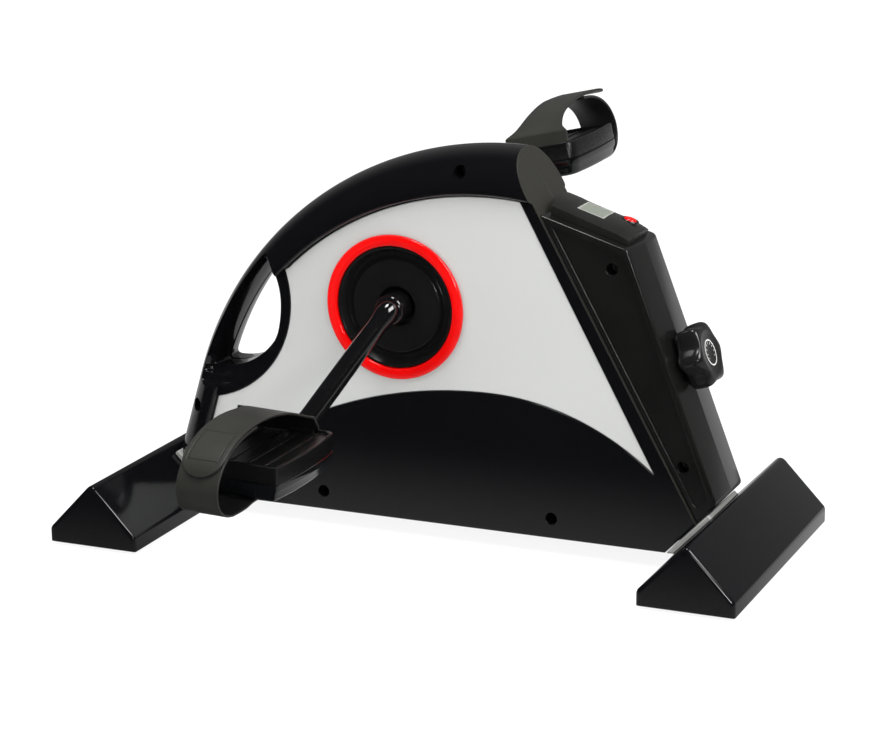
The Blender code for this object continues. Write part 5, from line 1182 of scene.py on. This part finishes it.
# Along the computer: the place, its end's lean, its height at the sides and its height in the middle
COMPUTER_SECTIONS = np.array([
    (0.0, -0.25, 0.0064, COMPUTER_HEIGHT + COMPUTER_HUMP),
    (0.0080, 0.0, 0.0064, COMPUTER_HEIGHT + COMPUTER_HUMP * 0.9),
    (0.0130, 0.0, 0.0062, COMPUTER_HEIGHT),
    (COMPUTER_LENGTH - 0.0100, 0.0, 0.0050, COMPUTER_HEIGHT),
    (COMPUTER_LENGTH - 0.0030, 0.0, 0.0042, COMPUTER_HEIGHT * 0.78),
    (COMPUTER_LENGTH, 0.0, 0.0034, COMPUTER_HEIGHT * 0.50),
])
# How far the collar's loops round the button lie out from it and above the computer
COLLAR = (
    (0.0020, -0.0025), (0.0018, 0.0001), (0.0014, 0.0005), (0.0008, 0.0006), (GAP, 0.0004), (GAP, -0.0025),
)
# The share of its size and the height of the button's loops
BUTTON_LEVELS = (
    (0.01, -0.0030), (1.0, -0.0030), (1.0, 0.0), (0.98, 0.0005), (0.90, 0.0010), (0.72, 0.0014),
    (0.40, BUTTON_RISE - 0.00003), (0.01, BUTTON_RISE),
)


def button_loop(half_length, half_width, up):
    """An oval round the button's middle."""
    a = np.linspace(0, 2 * math.pi, 40, endpoint=False)
    along, sideways = BUTTON_AT + half_length * np.cos(a), BUTTON_ACROSS + half_width * np.sin(a)
    return on_top(along, sideways, COMPUTER_HEIGHT + up)


def build_computer(material):
    """The computer's crowned case: up = low + (top - low)(1 - |w|^2.5), with a pocket for the display."""
    step = 0.0001
    reach, wide = LENS_LENGTH / 2 + GAP, LENS_WIDTH / 2 + GAP
    edges = LENS_AT + np.array([-reach - step, -reach, reach, reach + step])
    along = np.unique(np.round(np.concatenate([np.linspace(0, COMPUTER_LENGTH, 44), edges]), 6))
    edges = np.array([-wide - step, -wide, wide, wide + step]) / COMPUTER_HALF
    w = np.unique(np.round(np.concatenate([np.linspace(-1, 1, 45), edges]), 6))[::-1]
    place, lean, low, _ = COMPUTER_SECTIONS.T
    lean, low = np.interp(along, place, lean), np.interp(along, place, low)
    top = np.interp(along, *softened(COMPUTER_SECTIONS[:, [0, 3]], 0.003, 6, closed=False).T)
    up = low[:, None] + (top - low)[:, None] * (1 - np.abs(w) ** 2.5)
    under_lens = np.abs(along - LENS_AT)[:, None] < reach + 1e-5
    under_lens = under_lens & (np.abs(w * COMPUTER_HALF) < wide + 1e-5)
    up = np.where(under_lens, COMPUTER_HEIGHT - LENS_POCKET, up)
    crown = on_top(along[:, None] + lean[:, None] * up, COMPUTER_HALF * w, up)

    def flank(side):
        foot = on_top(along, side * COMPUTER_HALF, 0)
        shoulder = on_top(along + lean * low * 0.9, side * COMPUTER_HALF, low - 0.0006)
        return np.stack([foot, shoulder] if side > 0 else [shoulder, foot], 1)

    skin = Skin()
    skin.tube(np.concatenate([flank(1), crown, flank(-1)], 1))
    half_length, half_width = BUTTON_LENGTH / 2, BUTTON_WIDTH / 2
    loops = [button_loop(half_length + out, half_width + out, up) for out, up in COLLAR]
    skin.grid(np.array(loops), round_rows=True, round_columns=True)
    return skin.piece("computer", material, "base", ["computer_case"])


def build_button(material):
    """The red button, domed."""
    half_length, half_width = BUTTON_LENGTH / 2, BUTTON_WIDTH / 2
    skin = Skin()
    skin.tube(np.array([button_loop(half_length * s, half_width * s, up) for s, up in BUTTON_LEVELS]))
    return skin.piece("press_button", material, "button", ["computer_button"], 60)


# Materials


def operation(kind, swapped=False):
    """A method that joins a shader value and another one with a maths node."""

    def apply(self, other=0.0):
        return self.shader.math(kind, *((other, self) if swapped else (self, other)))

    return apply


class Value:
    """A shader socket that can stand in an expression."""

    def __init__(self, shader, socket):
        self.shader = shader
        self.socket = socket

    __add__ = __radd__ = operation("ADD")
    __sub__ = operation("SUBTRACT")
    __rsub__ = operation("SUBTRACT", swapped=True)
    __mul__ = __rmul__ = operation("MULTIPLY")
    __pow__ = operation("POWER")
    __abs__ = operation("ABSOLUTE")


class Graph:
    """A node tree under construction."""

    def __init__(self, tree):
        self.tree = tree

    def node(self, kind, settings=None, **inputs):
        """A node of a kind with its settings. Its sockets are fed by name or, as _0, by number."""
        made = self.tree.nodes.new(kind)
        for key, value in (settings or {}).items():
            setattr(made, key, value)
        for key, value in inputs.items():
            self.feed(made.inputs[int(key[1:]) if key[0] == "_" else key.replace("_", " ")], value)
        return made

    def feed(self, target, value):
        """Links a shader value or a socket to the target, or sets a plain number or a colour."""
        if isinstance(value, Value):
            value = value.socket
        if isinstance(value, bpy.types.NodeSocket):
            self.tree.links.new(value, target)
        elif target.type == "RGBA":
            target.default_value = (*value, 1)
        else:
            target.default_value = value

    def math(self, kind, a, b=0.0):
        return Value(self, self.node("ShaderNodeMath", {"operation": kind}, _0=a, _1=b).outputs[0])

    def axes(self, vector):
        made = self.node("ShaderNodeSeparateXYZ", None, Vector=vector)
        return [Value(self, socket) for socket in made.outputs]

    def ramp(self, value, low, high):
        """0 below low, 1 above high, smooth between."""
        settings = {"interpolation_type": "SMOOTHSTEP"}
        made = self.node("ShaderNodeMapRange", settings, Value=value, From_Min=low, From_Max=high)
        return Value(self, made.outputs[0])

    def ray(self, kind):
        """1 for rays of a kind, such as Is Camera Ray."""
        return Value(self, self.node("ShaderNodeLightPath").outputs[kind])

    def both(self, mask, colour_a, colour_b):
        """colour_a where the mask is 0, colour_b where it is 1."""
        return self.node("ShaderNodeMix", {"data_type": "RGBA"}, _0=mask, _6=colour_a, _7=colour_b).outputs[2]


class Shader(Graph):
    """A Principled material under construction."""

    def __init__(self, name, colour, roughness, metallic=0.0, coat=0.0):
        self.material = bpy.data.materials.new(name)
        self.material.use_nodes = True
        super().__init__(self.material.node_tree)
        self.bsdf = self.tree.nodes["Principled BSDF"]
        self.set("Base Color", colour)
        self.set("Roughness", roughness)
        self.set("Metallic", metallic)
        self.set("Coat Weight", coat)
        self.set("Coat Roughness", 0.03)
        self.place = self.node("ShaderNodeTexCoord").outputs["Object"]

    def set(self, name, value):
        self.feed(self.bsdf.inputs[name], value)

    def noise(self, scale, detail=2.0):
        made = self.node("ShaderNodeTexNoise", None, Vector=self.place, Scale=scale, Detail=detail)
        return Value(self, made.outputs[0])

    def bump(self, height, distance):
        made = self.node("ShaderNodeBump", None, Height=height, Distance=distance, Strength=1.0)
        self.set("Normal", made.outputs[0])

    def wandering(self, colour):
        """The colour, a little darker and lighter from place to place."""
        shade = self.ramp(self.noise(18.0, 3.0), 0.3, 0.7)
        return self.both(shade, [c * 0.85 for c in colour], [c * 1.15 for c in colour])

    def above_plane(self, point, normal):
        """Distance of the shaded place from a plane square to the side view."""
        x, _, z = self.axes(self.place)
        return (x - point[0]) * float(normal[0]) + (z - point[1]) * float(normal[1])


def moulded(name, colour, roughness, grain=0.0, coat=0.0):
    """Moulded plastic: its colour and gloss wander a little, and a matte one has a fine grain."""
    shader = Shader(name, colour, roughness, coat=coat)
    shader.set("Base Color", shader.wandering(colour))
    shader.set("Roughness", shader.noise(18.0, 3.0) * (0.3 * roughness) + roughness * 0.85)
    if grain:
        shader.bump(shader.noise(2600.0), grain)
    return shader


def housing_material(look):
    """Gloss black, with the crest's end face left matte."""
    shader = Shader("housing_black", look.black, look.gloss)
    _, y, _ = shader.axes(shader.place)
    out = shader.above_plane(CREST_TOP, CREST_NORMAL) + abs(y) * (SWEEP_BACK * CREST_NORMAL[0])
    crest = shader.ramp(out, -0.0006, -0.0003)
    shader.set("Base Color", shader.both(crest, look.black, (0.017, 0.0165, 0.0135)))
    shader.set("Roughness", crest * 0.42 + look.gloss)
    return shader.material


def foot_material(look):
    """Gloss black, with a grey rubbery saddle that rises above the foot's slope."""
    shader = Shader("foot_black", look.black, 0.11)
    x, _, z = shader.axes(shader.place)
    slope = math.radians(FOOT_SLOPE)
    rise = (z - FOOT_RIDGE) * math.cos(slope) + abs(abs(x) - FOOT_X) * math.sin(slope)
    saddle = shader.ramp(rise, 0.0006, 0.0012)
    shader.set("Base Color", shader.both(saddle, look.black, (0.27, 0.27, 0.26)))
    shader.set("Roughness", saddle * 0.30 + 0.11)
    return shader.material


def silver_material(look):
    """Silver paint with fine flakes."""
    shader = Shader("side_silver", look.silver, 0.36, metallic=0.1)
    flake = shader.ramp(shader.noise(5200.0, 1.0), 0.35, 0.65)
    dull, bright = ([c * tone for c in look.silver] for tone in (0.96, 1.03))
    shader.set("Base Color", shader.both(flake, dull, bright))
    shader.set("Roughness", shader.noise(30.0) * 0.08 + 0.33)
    return shader.material


def strap_material(look):
    """Soft rubber with a fine grain, a shallow outlined rectangle on the strap's tail, and painted shade: the
    strap's inner face is coloured near black.
    """
    shader = moulded("strap_rubber", look.rubber, 0.42)
    marks = shader.node("ShaderNodeAttribute", {"attribute_name": "mark"}).outputs["Vector"]
    u, v, tail = shader.axes(marks)
    beside = (abs(u - 0.5) - 0.37) * (STRAP_FRONT - STRAP_BACK)
    edge = shader.math("MAXIMUM", beside, abs(v - 0.027) - 0.015)
    line = (1 - shader.ramp(abs(edge), 0.0003, 0.0009)) * tail
    shader.bump(shader.noise(2600.0) * 0.12 - line, 0.0006)
    # Painted shade: the inner face, marked -1, is coloured near black as if it lay in shadow.
    inside = 1 - shader.ramp(u, -0.9, -0.3)
    shader.set("Base Color", shader.both(inside, shader.wandering(look.rubber), (0.003, 0.003, 0.003)))
    return shader.material


def metal_material(name, colour, roughness):
    """Machined or plated metal with fine streaks."""
    shader = Shader(name, colour, roughness, metallic=1.0)
    streak = shader.noise(220.0, 3.0)
    shader.set("Base Color", shader.both(streak, [c * 0.85 for c in colour], colour))
    shader.set("Roughness", streak * 0.15 + roughness)
    return shader.material


def knob_material():
    """Satin black, with a light ring and a few ticks printed on the face."""
    black = (0.006, 0.006, 0.006)
    shader = moulded("knob_black", black, 0.20, grain=0.00001)
    (at_x, _, at_z), (out_x, _, out_z) = knob_axis()
    _, y, _ = shader.axes(shader.place)
    height = shader.above_plane((at_x, at_z), (out_x, out_z))
    sideways = shader.above_plane((at_x, at_z), (-out_z, out_x))
    radius = (y * y + sideways * sideways) ** 0.5
    face = shader.ramp(height, KNOB_TALL - 0.0016, KNOB_TALL - 0.0012)
    ring = 1 - shader.ramp(abs(radius - 0.0094), 0.0003, 0.0006)
    angle = shader.math("ARCTAN2", sideways, y)
    tick = shader.ramp(shader.math("COSINE", angle * 12.0), 0.80, 0.92)
    band = 1 - shader.ramp(abs(radius - 0.0070), 0.0006, 0.0009)
    ticks = tick * band * shader.ramp(sideways, -0.004, -0.0035)
    mark = face * shader.math("MAXIMUM", ring, ticks)
    shader.set("Base Color", shader.both(mark, black, (0.62, 0.62, 0.60)))
    return shader.material


def display_material():
    """The grey-green display with a thin light frame."""
    shader = Shader("display", (0.25, 0.27, 0.24), 0.18)
    along = shader.above_plane(computer_start(), BOX_TOP_DIRECTION)
    _, y, _ = shader.axes(shader.place)
    ends = shader.ramp(abs(along - LENS_AT), LENS_LENGTH / 2 - 0.0011, LENS_LENGTH / 2 - 0.0009)
    sides = shader.ramp(abs(y), LENS_WIDTH / 2 - 0.0011, LENS_WIDTH / 2 - 0.0009)
    glass = shader.both(shader.noise(40.0, 1.0), (0.135, 0.15, 0.125), (0.175, 0.19, 0.16))
    shader.set("Base Color", shader.both(shader.math("MAXIMUM", ends, sides), glass, (0.30, 0.30, 0.29)))
    return shader.material


# Settings that a user may change


def colour(name, description, default):
    settings = dict(subtype="COLOR", min=0, max=1)
    return bpy.props.FloatVectorProperty(name=name, description=description, default=default, **settings)


def amount(name, description, default, **settings):
    return bpy.props.FloatProperty(name=name, description=description, default=default, **settings)


class BikeLook(bpy.types.PropertyGroup):
    """Colours and finishes."""

    black: colour("Black", "Colour of the gloss plastic", (0.0025, 0.0025, 0.003))
    silver: colour("Silver", "Colour of the side panels", (0.435, 0.44, 0.43))
    red: colour("Red", "Colour of the rings and the button", (0.56, 0.001, 0.001))
    rubber: colour("Rubber", "Colour of the straps", (0.017, 0.017, 0.0145))
    gloss: amount("Gloss", "Roughness of the gloss plastic", 0.09, min=0.0, max=1.0, subtype="FACTOR")


class BikeStage(bpy.types.PropertyGroup):
    """The studio's sizes."""

    floor_size: amount("Floor", "Width of the floor", 12.0, unit="LENGTH", subtype="DISTANCE")
    ambient: amount("Ambient", "Strength of the room's even light", 0.5)
    key_power: amount("Key", "Power of the softbox above", 34.0, unit="POWER")
    fill_power: amount("Fill", "Power of the side softboxes", 10.0, unit="POWER")
    glint_power: amount("Glint", "Power of the small softboxes that edges reflect", 9.0, unit="POWER")


class BIKE_OT_housing(bpy.types.Operator):
    """Builds the housing, its silver panels, rings and round covers."""

    bl_idname = "bike.housing"
    bl_label = "Housing"

    def execute(self, context):
        look = context.scene.bike_look
        build_housing(housing_material(look))
        silver, red = silver_material(look), moulded("ring_red", look.red, 0.16, coat=0.1).material
        cover = moulded("cover_black", (0.005, 0.005, 0.005), 0.22).material
        for side in (-1, 1):
            build_panel(side, silver)
            build_ring(side, red)
            build_cover(side, cover)
        return {"FINISHED"}


class BIKE_OT_crank(bpy.types.Operator):
    """Builds the crank's two arms."""

    bl_idname = "bike.crank"
    bl_label = "Crank"

    def execute(self, context):
        paint = moulded("crank_paint", (0.003, 0.003, 0.0033), 0.10, coat=0.5).material
        for side in (-1, 1):
            build_arm(side, paint)
        return {"FINISHED"}


class BIKE_OT_pedals(bpy.types.Operator):
    """Builds the pedals and their straps."""

    bl_idname = "bike.pedals"
    bl_label = "Pedals"

    def execute(self, context):
        gloss = moulded("pedal_gloss", (0.0025, 0.0028, 0.0032), 0.12).material
        matte = moulded("pedal_matte", (0.003, 0.003, 0.003), 0.24, grain=0.00010).material
        rubber = strap_material(context.scene.bike_look)
        for side in (-1, 1):
            build_pedal(side, {"gloss": gloss, "matte": matte})
            lower_strap(side, rubber)
            upper_strap(side, rubber)
        return {"FINISHED"}


class BIKE_OT_feet(bpy.types.Operator):
    """Builds the two feet."""

    bl_idname = "bike.feet"
    bl_label = "Feet"

    def execute(self, context):
        material = foot_material(context.scene.bike_look)
        for side_x in (-1, 1):
            build_foot(side_x, material)
        return {"FINISHED"}


class BIKE_OT_console(bpy.types.Operator):
    """Builds the console box, its knob and its computer."""

    bl_idname = "bike.console"
    bl_label = "Console"

    def execute(self, context):
        build_box(moulded("box_black", (0.005, 0.005, 0.0048), 0.16).material)
        build_knob(knob_material())
        build_computer(moulded("computer_black", (0.010, 0.010, 0.0095), 0.20, grain=0.00001).material)
        build_button(moulded("button_red", context.scene.bike_look.red, 0.22, coat=0.3).material)
        return {"FINISHED"}


class BIKE_OT_inner(bpy.types.Operator):
    """Gives the CAD pieces that still show their materials."""

    bl_idname = "bike.inner"
    bl_label = "Inner pieces"

    def execute(self, context):
        rubber = context.scene.bike_look.rubber
        steel = metal_material("steel", (0.50, 0.50, 0.50), 0.28)
        zinc = metal_material("zinc", (0.30, 0.30, 0.29), 0.36)
        nylon = moulded("pulley_nylon", (0.03, 0.03, 0.03), 0.5, grain=0.00003).material
        paint = moulded("frame_paint", (0.015, 0.015, 0.016), 0.35).material
        finishes = {
            "magnets": metal_material("magnet_grey", (0.12, 0.12, 0.13), 0.4),
            "belt": moulded("belt_rubber", rubber, 0.52, grain=0.00006).material,
            "_pad": moulded("pad_rubber", rubber, 0.52, grain=0.00006).material,
            "lens": display_material(),
        }
        finishes |= dict.fromkeys(("screw", "bolt", "brake_bracket", "brake_pin"), zinc)
        finishes |= dict.fromkeys(("pulley", "cam"), nylon) | dict.fromkeys(("foot_bar", "main_frame"), paint)
        for name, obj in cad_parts.items():
            if not obj.material_slots:
                obj.data.materials.append(None)
            for slot in obj.material_slots:
                slot.link = "OBJECT"
                slot.material = next((finish for key, finish in finishes.items() if key in name), steel)
        return {"FINISHED"}


# Stage


def softbox(name, at, size, power, mirrored=False):
    """A square light aimed at the bike. Only a mirrored one shows in reflections."""
    light = bpy.data.lights.new(name, "AREA")
    light.size = size
    light.energy = power
    obj = bpy.data.objects.new(name, light)
    bpy.context.scene.collection.objects.link(obj)
    obj.matrix_world = axis_frame(at, Vector(at) - Vector((0, 0, 0.12)))
    obj.visible_glossy = mirrored


def build_floor(size):
    """A white floor that keeps its shadow. Past the bike it turns plain white to the camera. Reflections see
    it bright behind the bike and dark in front of it, as in the photographer's room."""
    half = size / 2
    mesh = bpy.data.meshes.new("floor")
    corners = [(-half, -half, 0), (half, -half, 0), (half, half, 0), (-half, half, 0)]
    mesh.from_pydata(corners, [], [(0, 1, 2, 3)])
    obj = bpy.data.objects.new("floor", mesh)
    bpy.context.scene.collection.objects.link(obj)
    shader = Shader("floor_white", (0.90, 0.90, 0.90), 0.9)
    shader.set("Base Color", shader.both(shader.noise(3.0, 1.0), [0.895] * 3, [0.905] * 3))
    shader.set("Specular IOR Level", 0.1)
    x, y, _ = shader.axes(shader.place)
    far = shader.ramp((x * x + y * y) ** 0.5, 0.45, 1.1)
    glossy = shader.ray("Is Glossy Ray")
    mirrored = shader.ramp(y, -0.28, -0.02) * 0.5 + 0.01
    white = glossy + shader.ray("Is Camera Ray") * (far * 0.2 + 0.8)
    strength = glossy * mirrored + (1 - glossy) * 1.12
    light = shader.node("ShaderNodeEmission", None, Strength=strength).outputs[0]
    mix = shader.node("ShaderNodeMixShader", None, _0=white, _1=shader.bsdf.outputs[0], _2=light)
    shader.feed(shader.tree.nodes["Material Output"].inputs["Surface"], mix.outputs[0])
    mesh.materials.append(shader.material)


def build_world(ambient):
    """White to the camera. Reflections see a bright backdrop and a dark room in front. The rest is even."""
    world = bpy.data.worlds.new("studio")
    bpy.context.scene.world = world
    world.use_nodes = True
    graph = Graph(world.node_tree)
    _, y, _ = graph.axes(graph.node("ShaderNodeTexCoord").outputs["Generated"])
    mirrored = graph.ramp(y, 0.1, 0.8) * 0.17 + 0.01
    glossy, camera = graph.ray("Is Glossy Ray"), graph.ray("Is Camera Ray")
    background = graph.tree.nodes["Background"]
    graph.feed(background.inputs["Color"], (1, 1, 1))
    strength = camera + (1 - camera) * (glossy * mirrored + (1 - glossy) * ambient)
    graph.feed(background.inputs["Strength"], strength)


def build_camera():
    """The photograph's camera, from the target out by azimuth, elevation, roll and distance."""
    place = Matrix.Translation(CAMERA_TARGET)
    place @= Matrix.Rotation(math.radians(CAMERA_AZIMUTH), 4, "Z")
    place @= Matrix.Rotation(math.radians(90 - CAMERA_ELEVATION), 4, "X")
    place @= Matrix.Rotation(math.radians(CAMERA_ROLL), 4, "Z")
    camera = bpy.data.cameras.new("camera")
    camera.sensor_width = 36
    camera.lens = CAMERA_FOCAL
    obj = bpy.data.objects.new("camera", camera)
    obj.matrix_world = place @ Matrix.Translation((0, 0, CAMERA_DISTANCE))
    bpy.context.scene.collection.objects.link(obj)
    bpy.context.scene.camera = obj


class BIKE_OT_stage(bpy.types.Operator):
    """Builds the camera, the softboxes, the floor and the white room."""

    bl_idname = "bike.stage"
    bl_label = "Stage"

    def execute(self, context):
        sizes = context.scene.bike_stage
        build_camera()
        build_world(sizes.ambient)
        build_floor(sizes.floor_size)
        softbox("key", (-0.3, -0.5, 1.7), 1.4, sizes.key_power)
        softbox("left_fill", (-1.5, -1.2, 0.8), 1.0, sizes.fill_power)
        softbox("right_fill", (1.7, -0.3, 0.9), 1.0, sizes.fill_power)
        softbox("glint_above_right", (1.20, -0.26, 1.36), 0.70, sizes.glint_power * 2, mirrored=True)
        softbox("glint_above", (0.08, -0.20, 1.85), 0.40, sizes.glint_power, mirrored=True)
        softbox("glint_right", (1.15, -1.24, 0.66), 0.30, sizes.glint_power * 0.6, mirrored=True)
        context.scene.view_settings.view_transform = "Standard"
        return {"FINISHED"}


OPERATORS = (
    BIKE_OT_stage,
    BIKE_OT_housing,
    BIKE_OT_crank,
    BIKE_OT_pedals,
    BIKE_OT_feet,
    BIKE_OT_console,
    BIKE_OT_inner,
)


class BIKE_PT_panel(bpy.types.Panel):
    """Lists the looks, the stage's sizes and the operators."""

    bl_label = "Exercise bike"
    bl_idname = "BIKE_PT_panel"
    bl_space_type = "VIEW_3D"
    bl_region_type = "UI"
    bl_category = "Bike"

    def draw(self, context):
        for group in (context.scene.bike_look, context.scene.bike_stage):
            for name in type(group).__annotations__:
                self.layout.prop(group, name)
        for operator in OPERATORS:
            self.layout.operator(operator.bl_idname)


CLASSES = (BikeLook, BikeStage, *OPERATORS, BIKE_PT_panel)


def register():
    for cls in CLASSES:
        bpy.utils.register_class(cls)
    bpy.types.Scene.bike_look = bpy.props.PointerProperty(type=BikeLook)
    bpy.types.Scene.bike_stage = bpy.props.PointerProperty(type=BikeStage)


def unregister():
    del bpy.types.Scene.bike_stage
    del bpy.types.Scene.bike_look
    for cls in reversed(CLASSES):
        bpy.utils.unregister_class(cls)


def main():
    register()
    for operator in OPERATORS:
        group, name = operator.bl_idname.split(".")
        getattr(getattr(bpy.ops, group), name)()


if __name__ == "__main__":
    main()
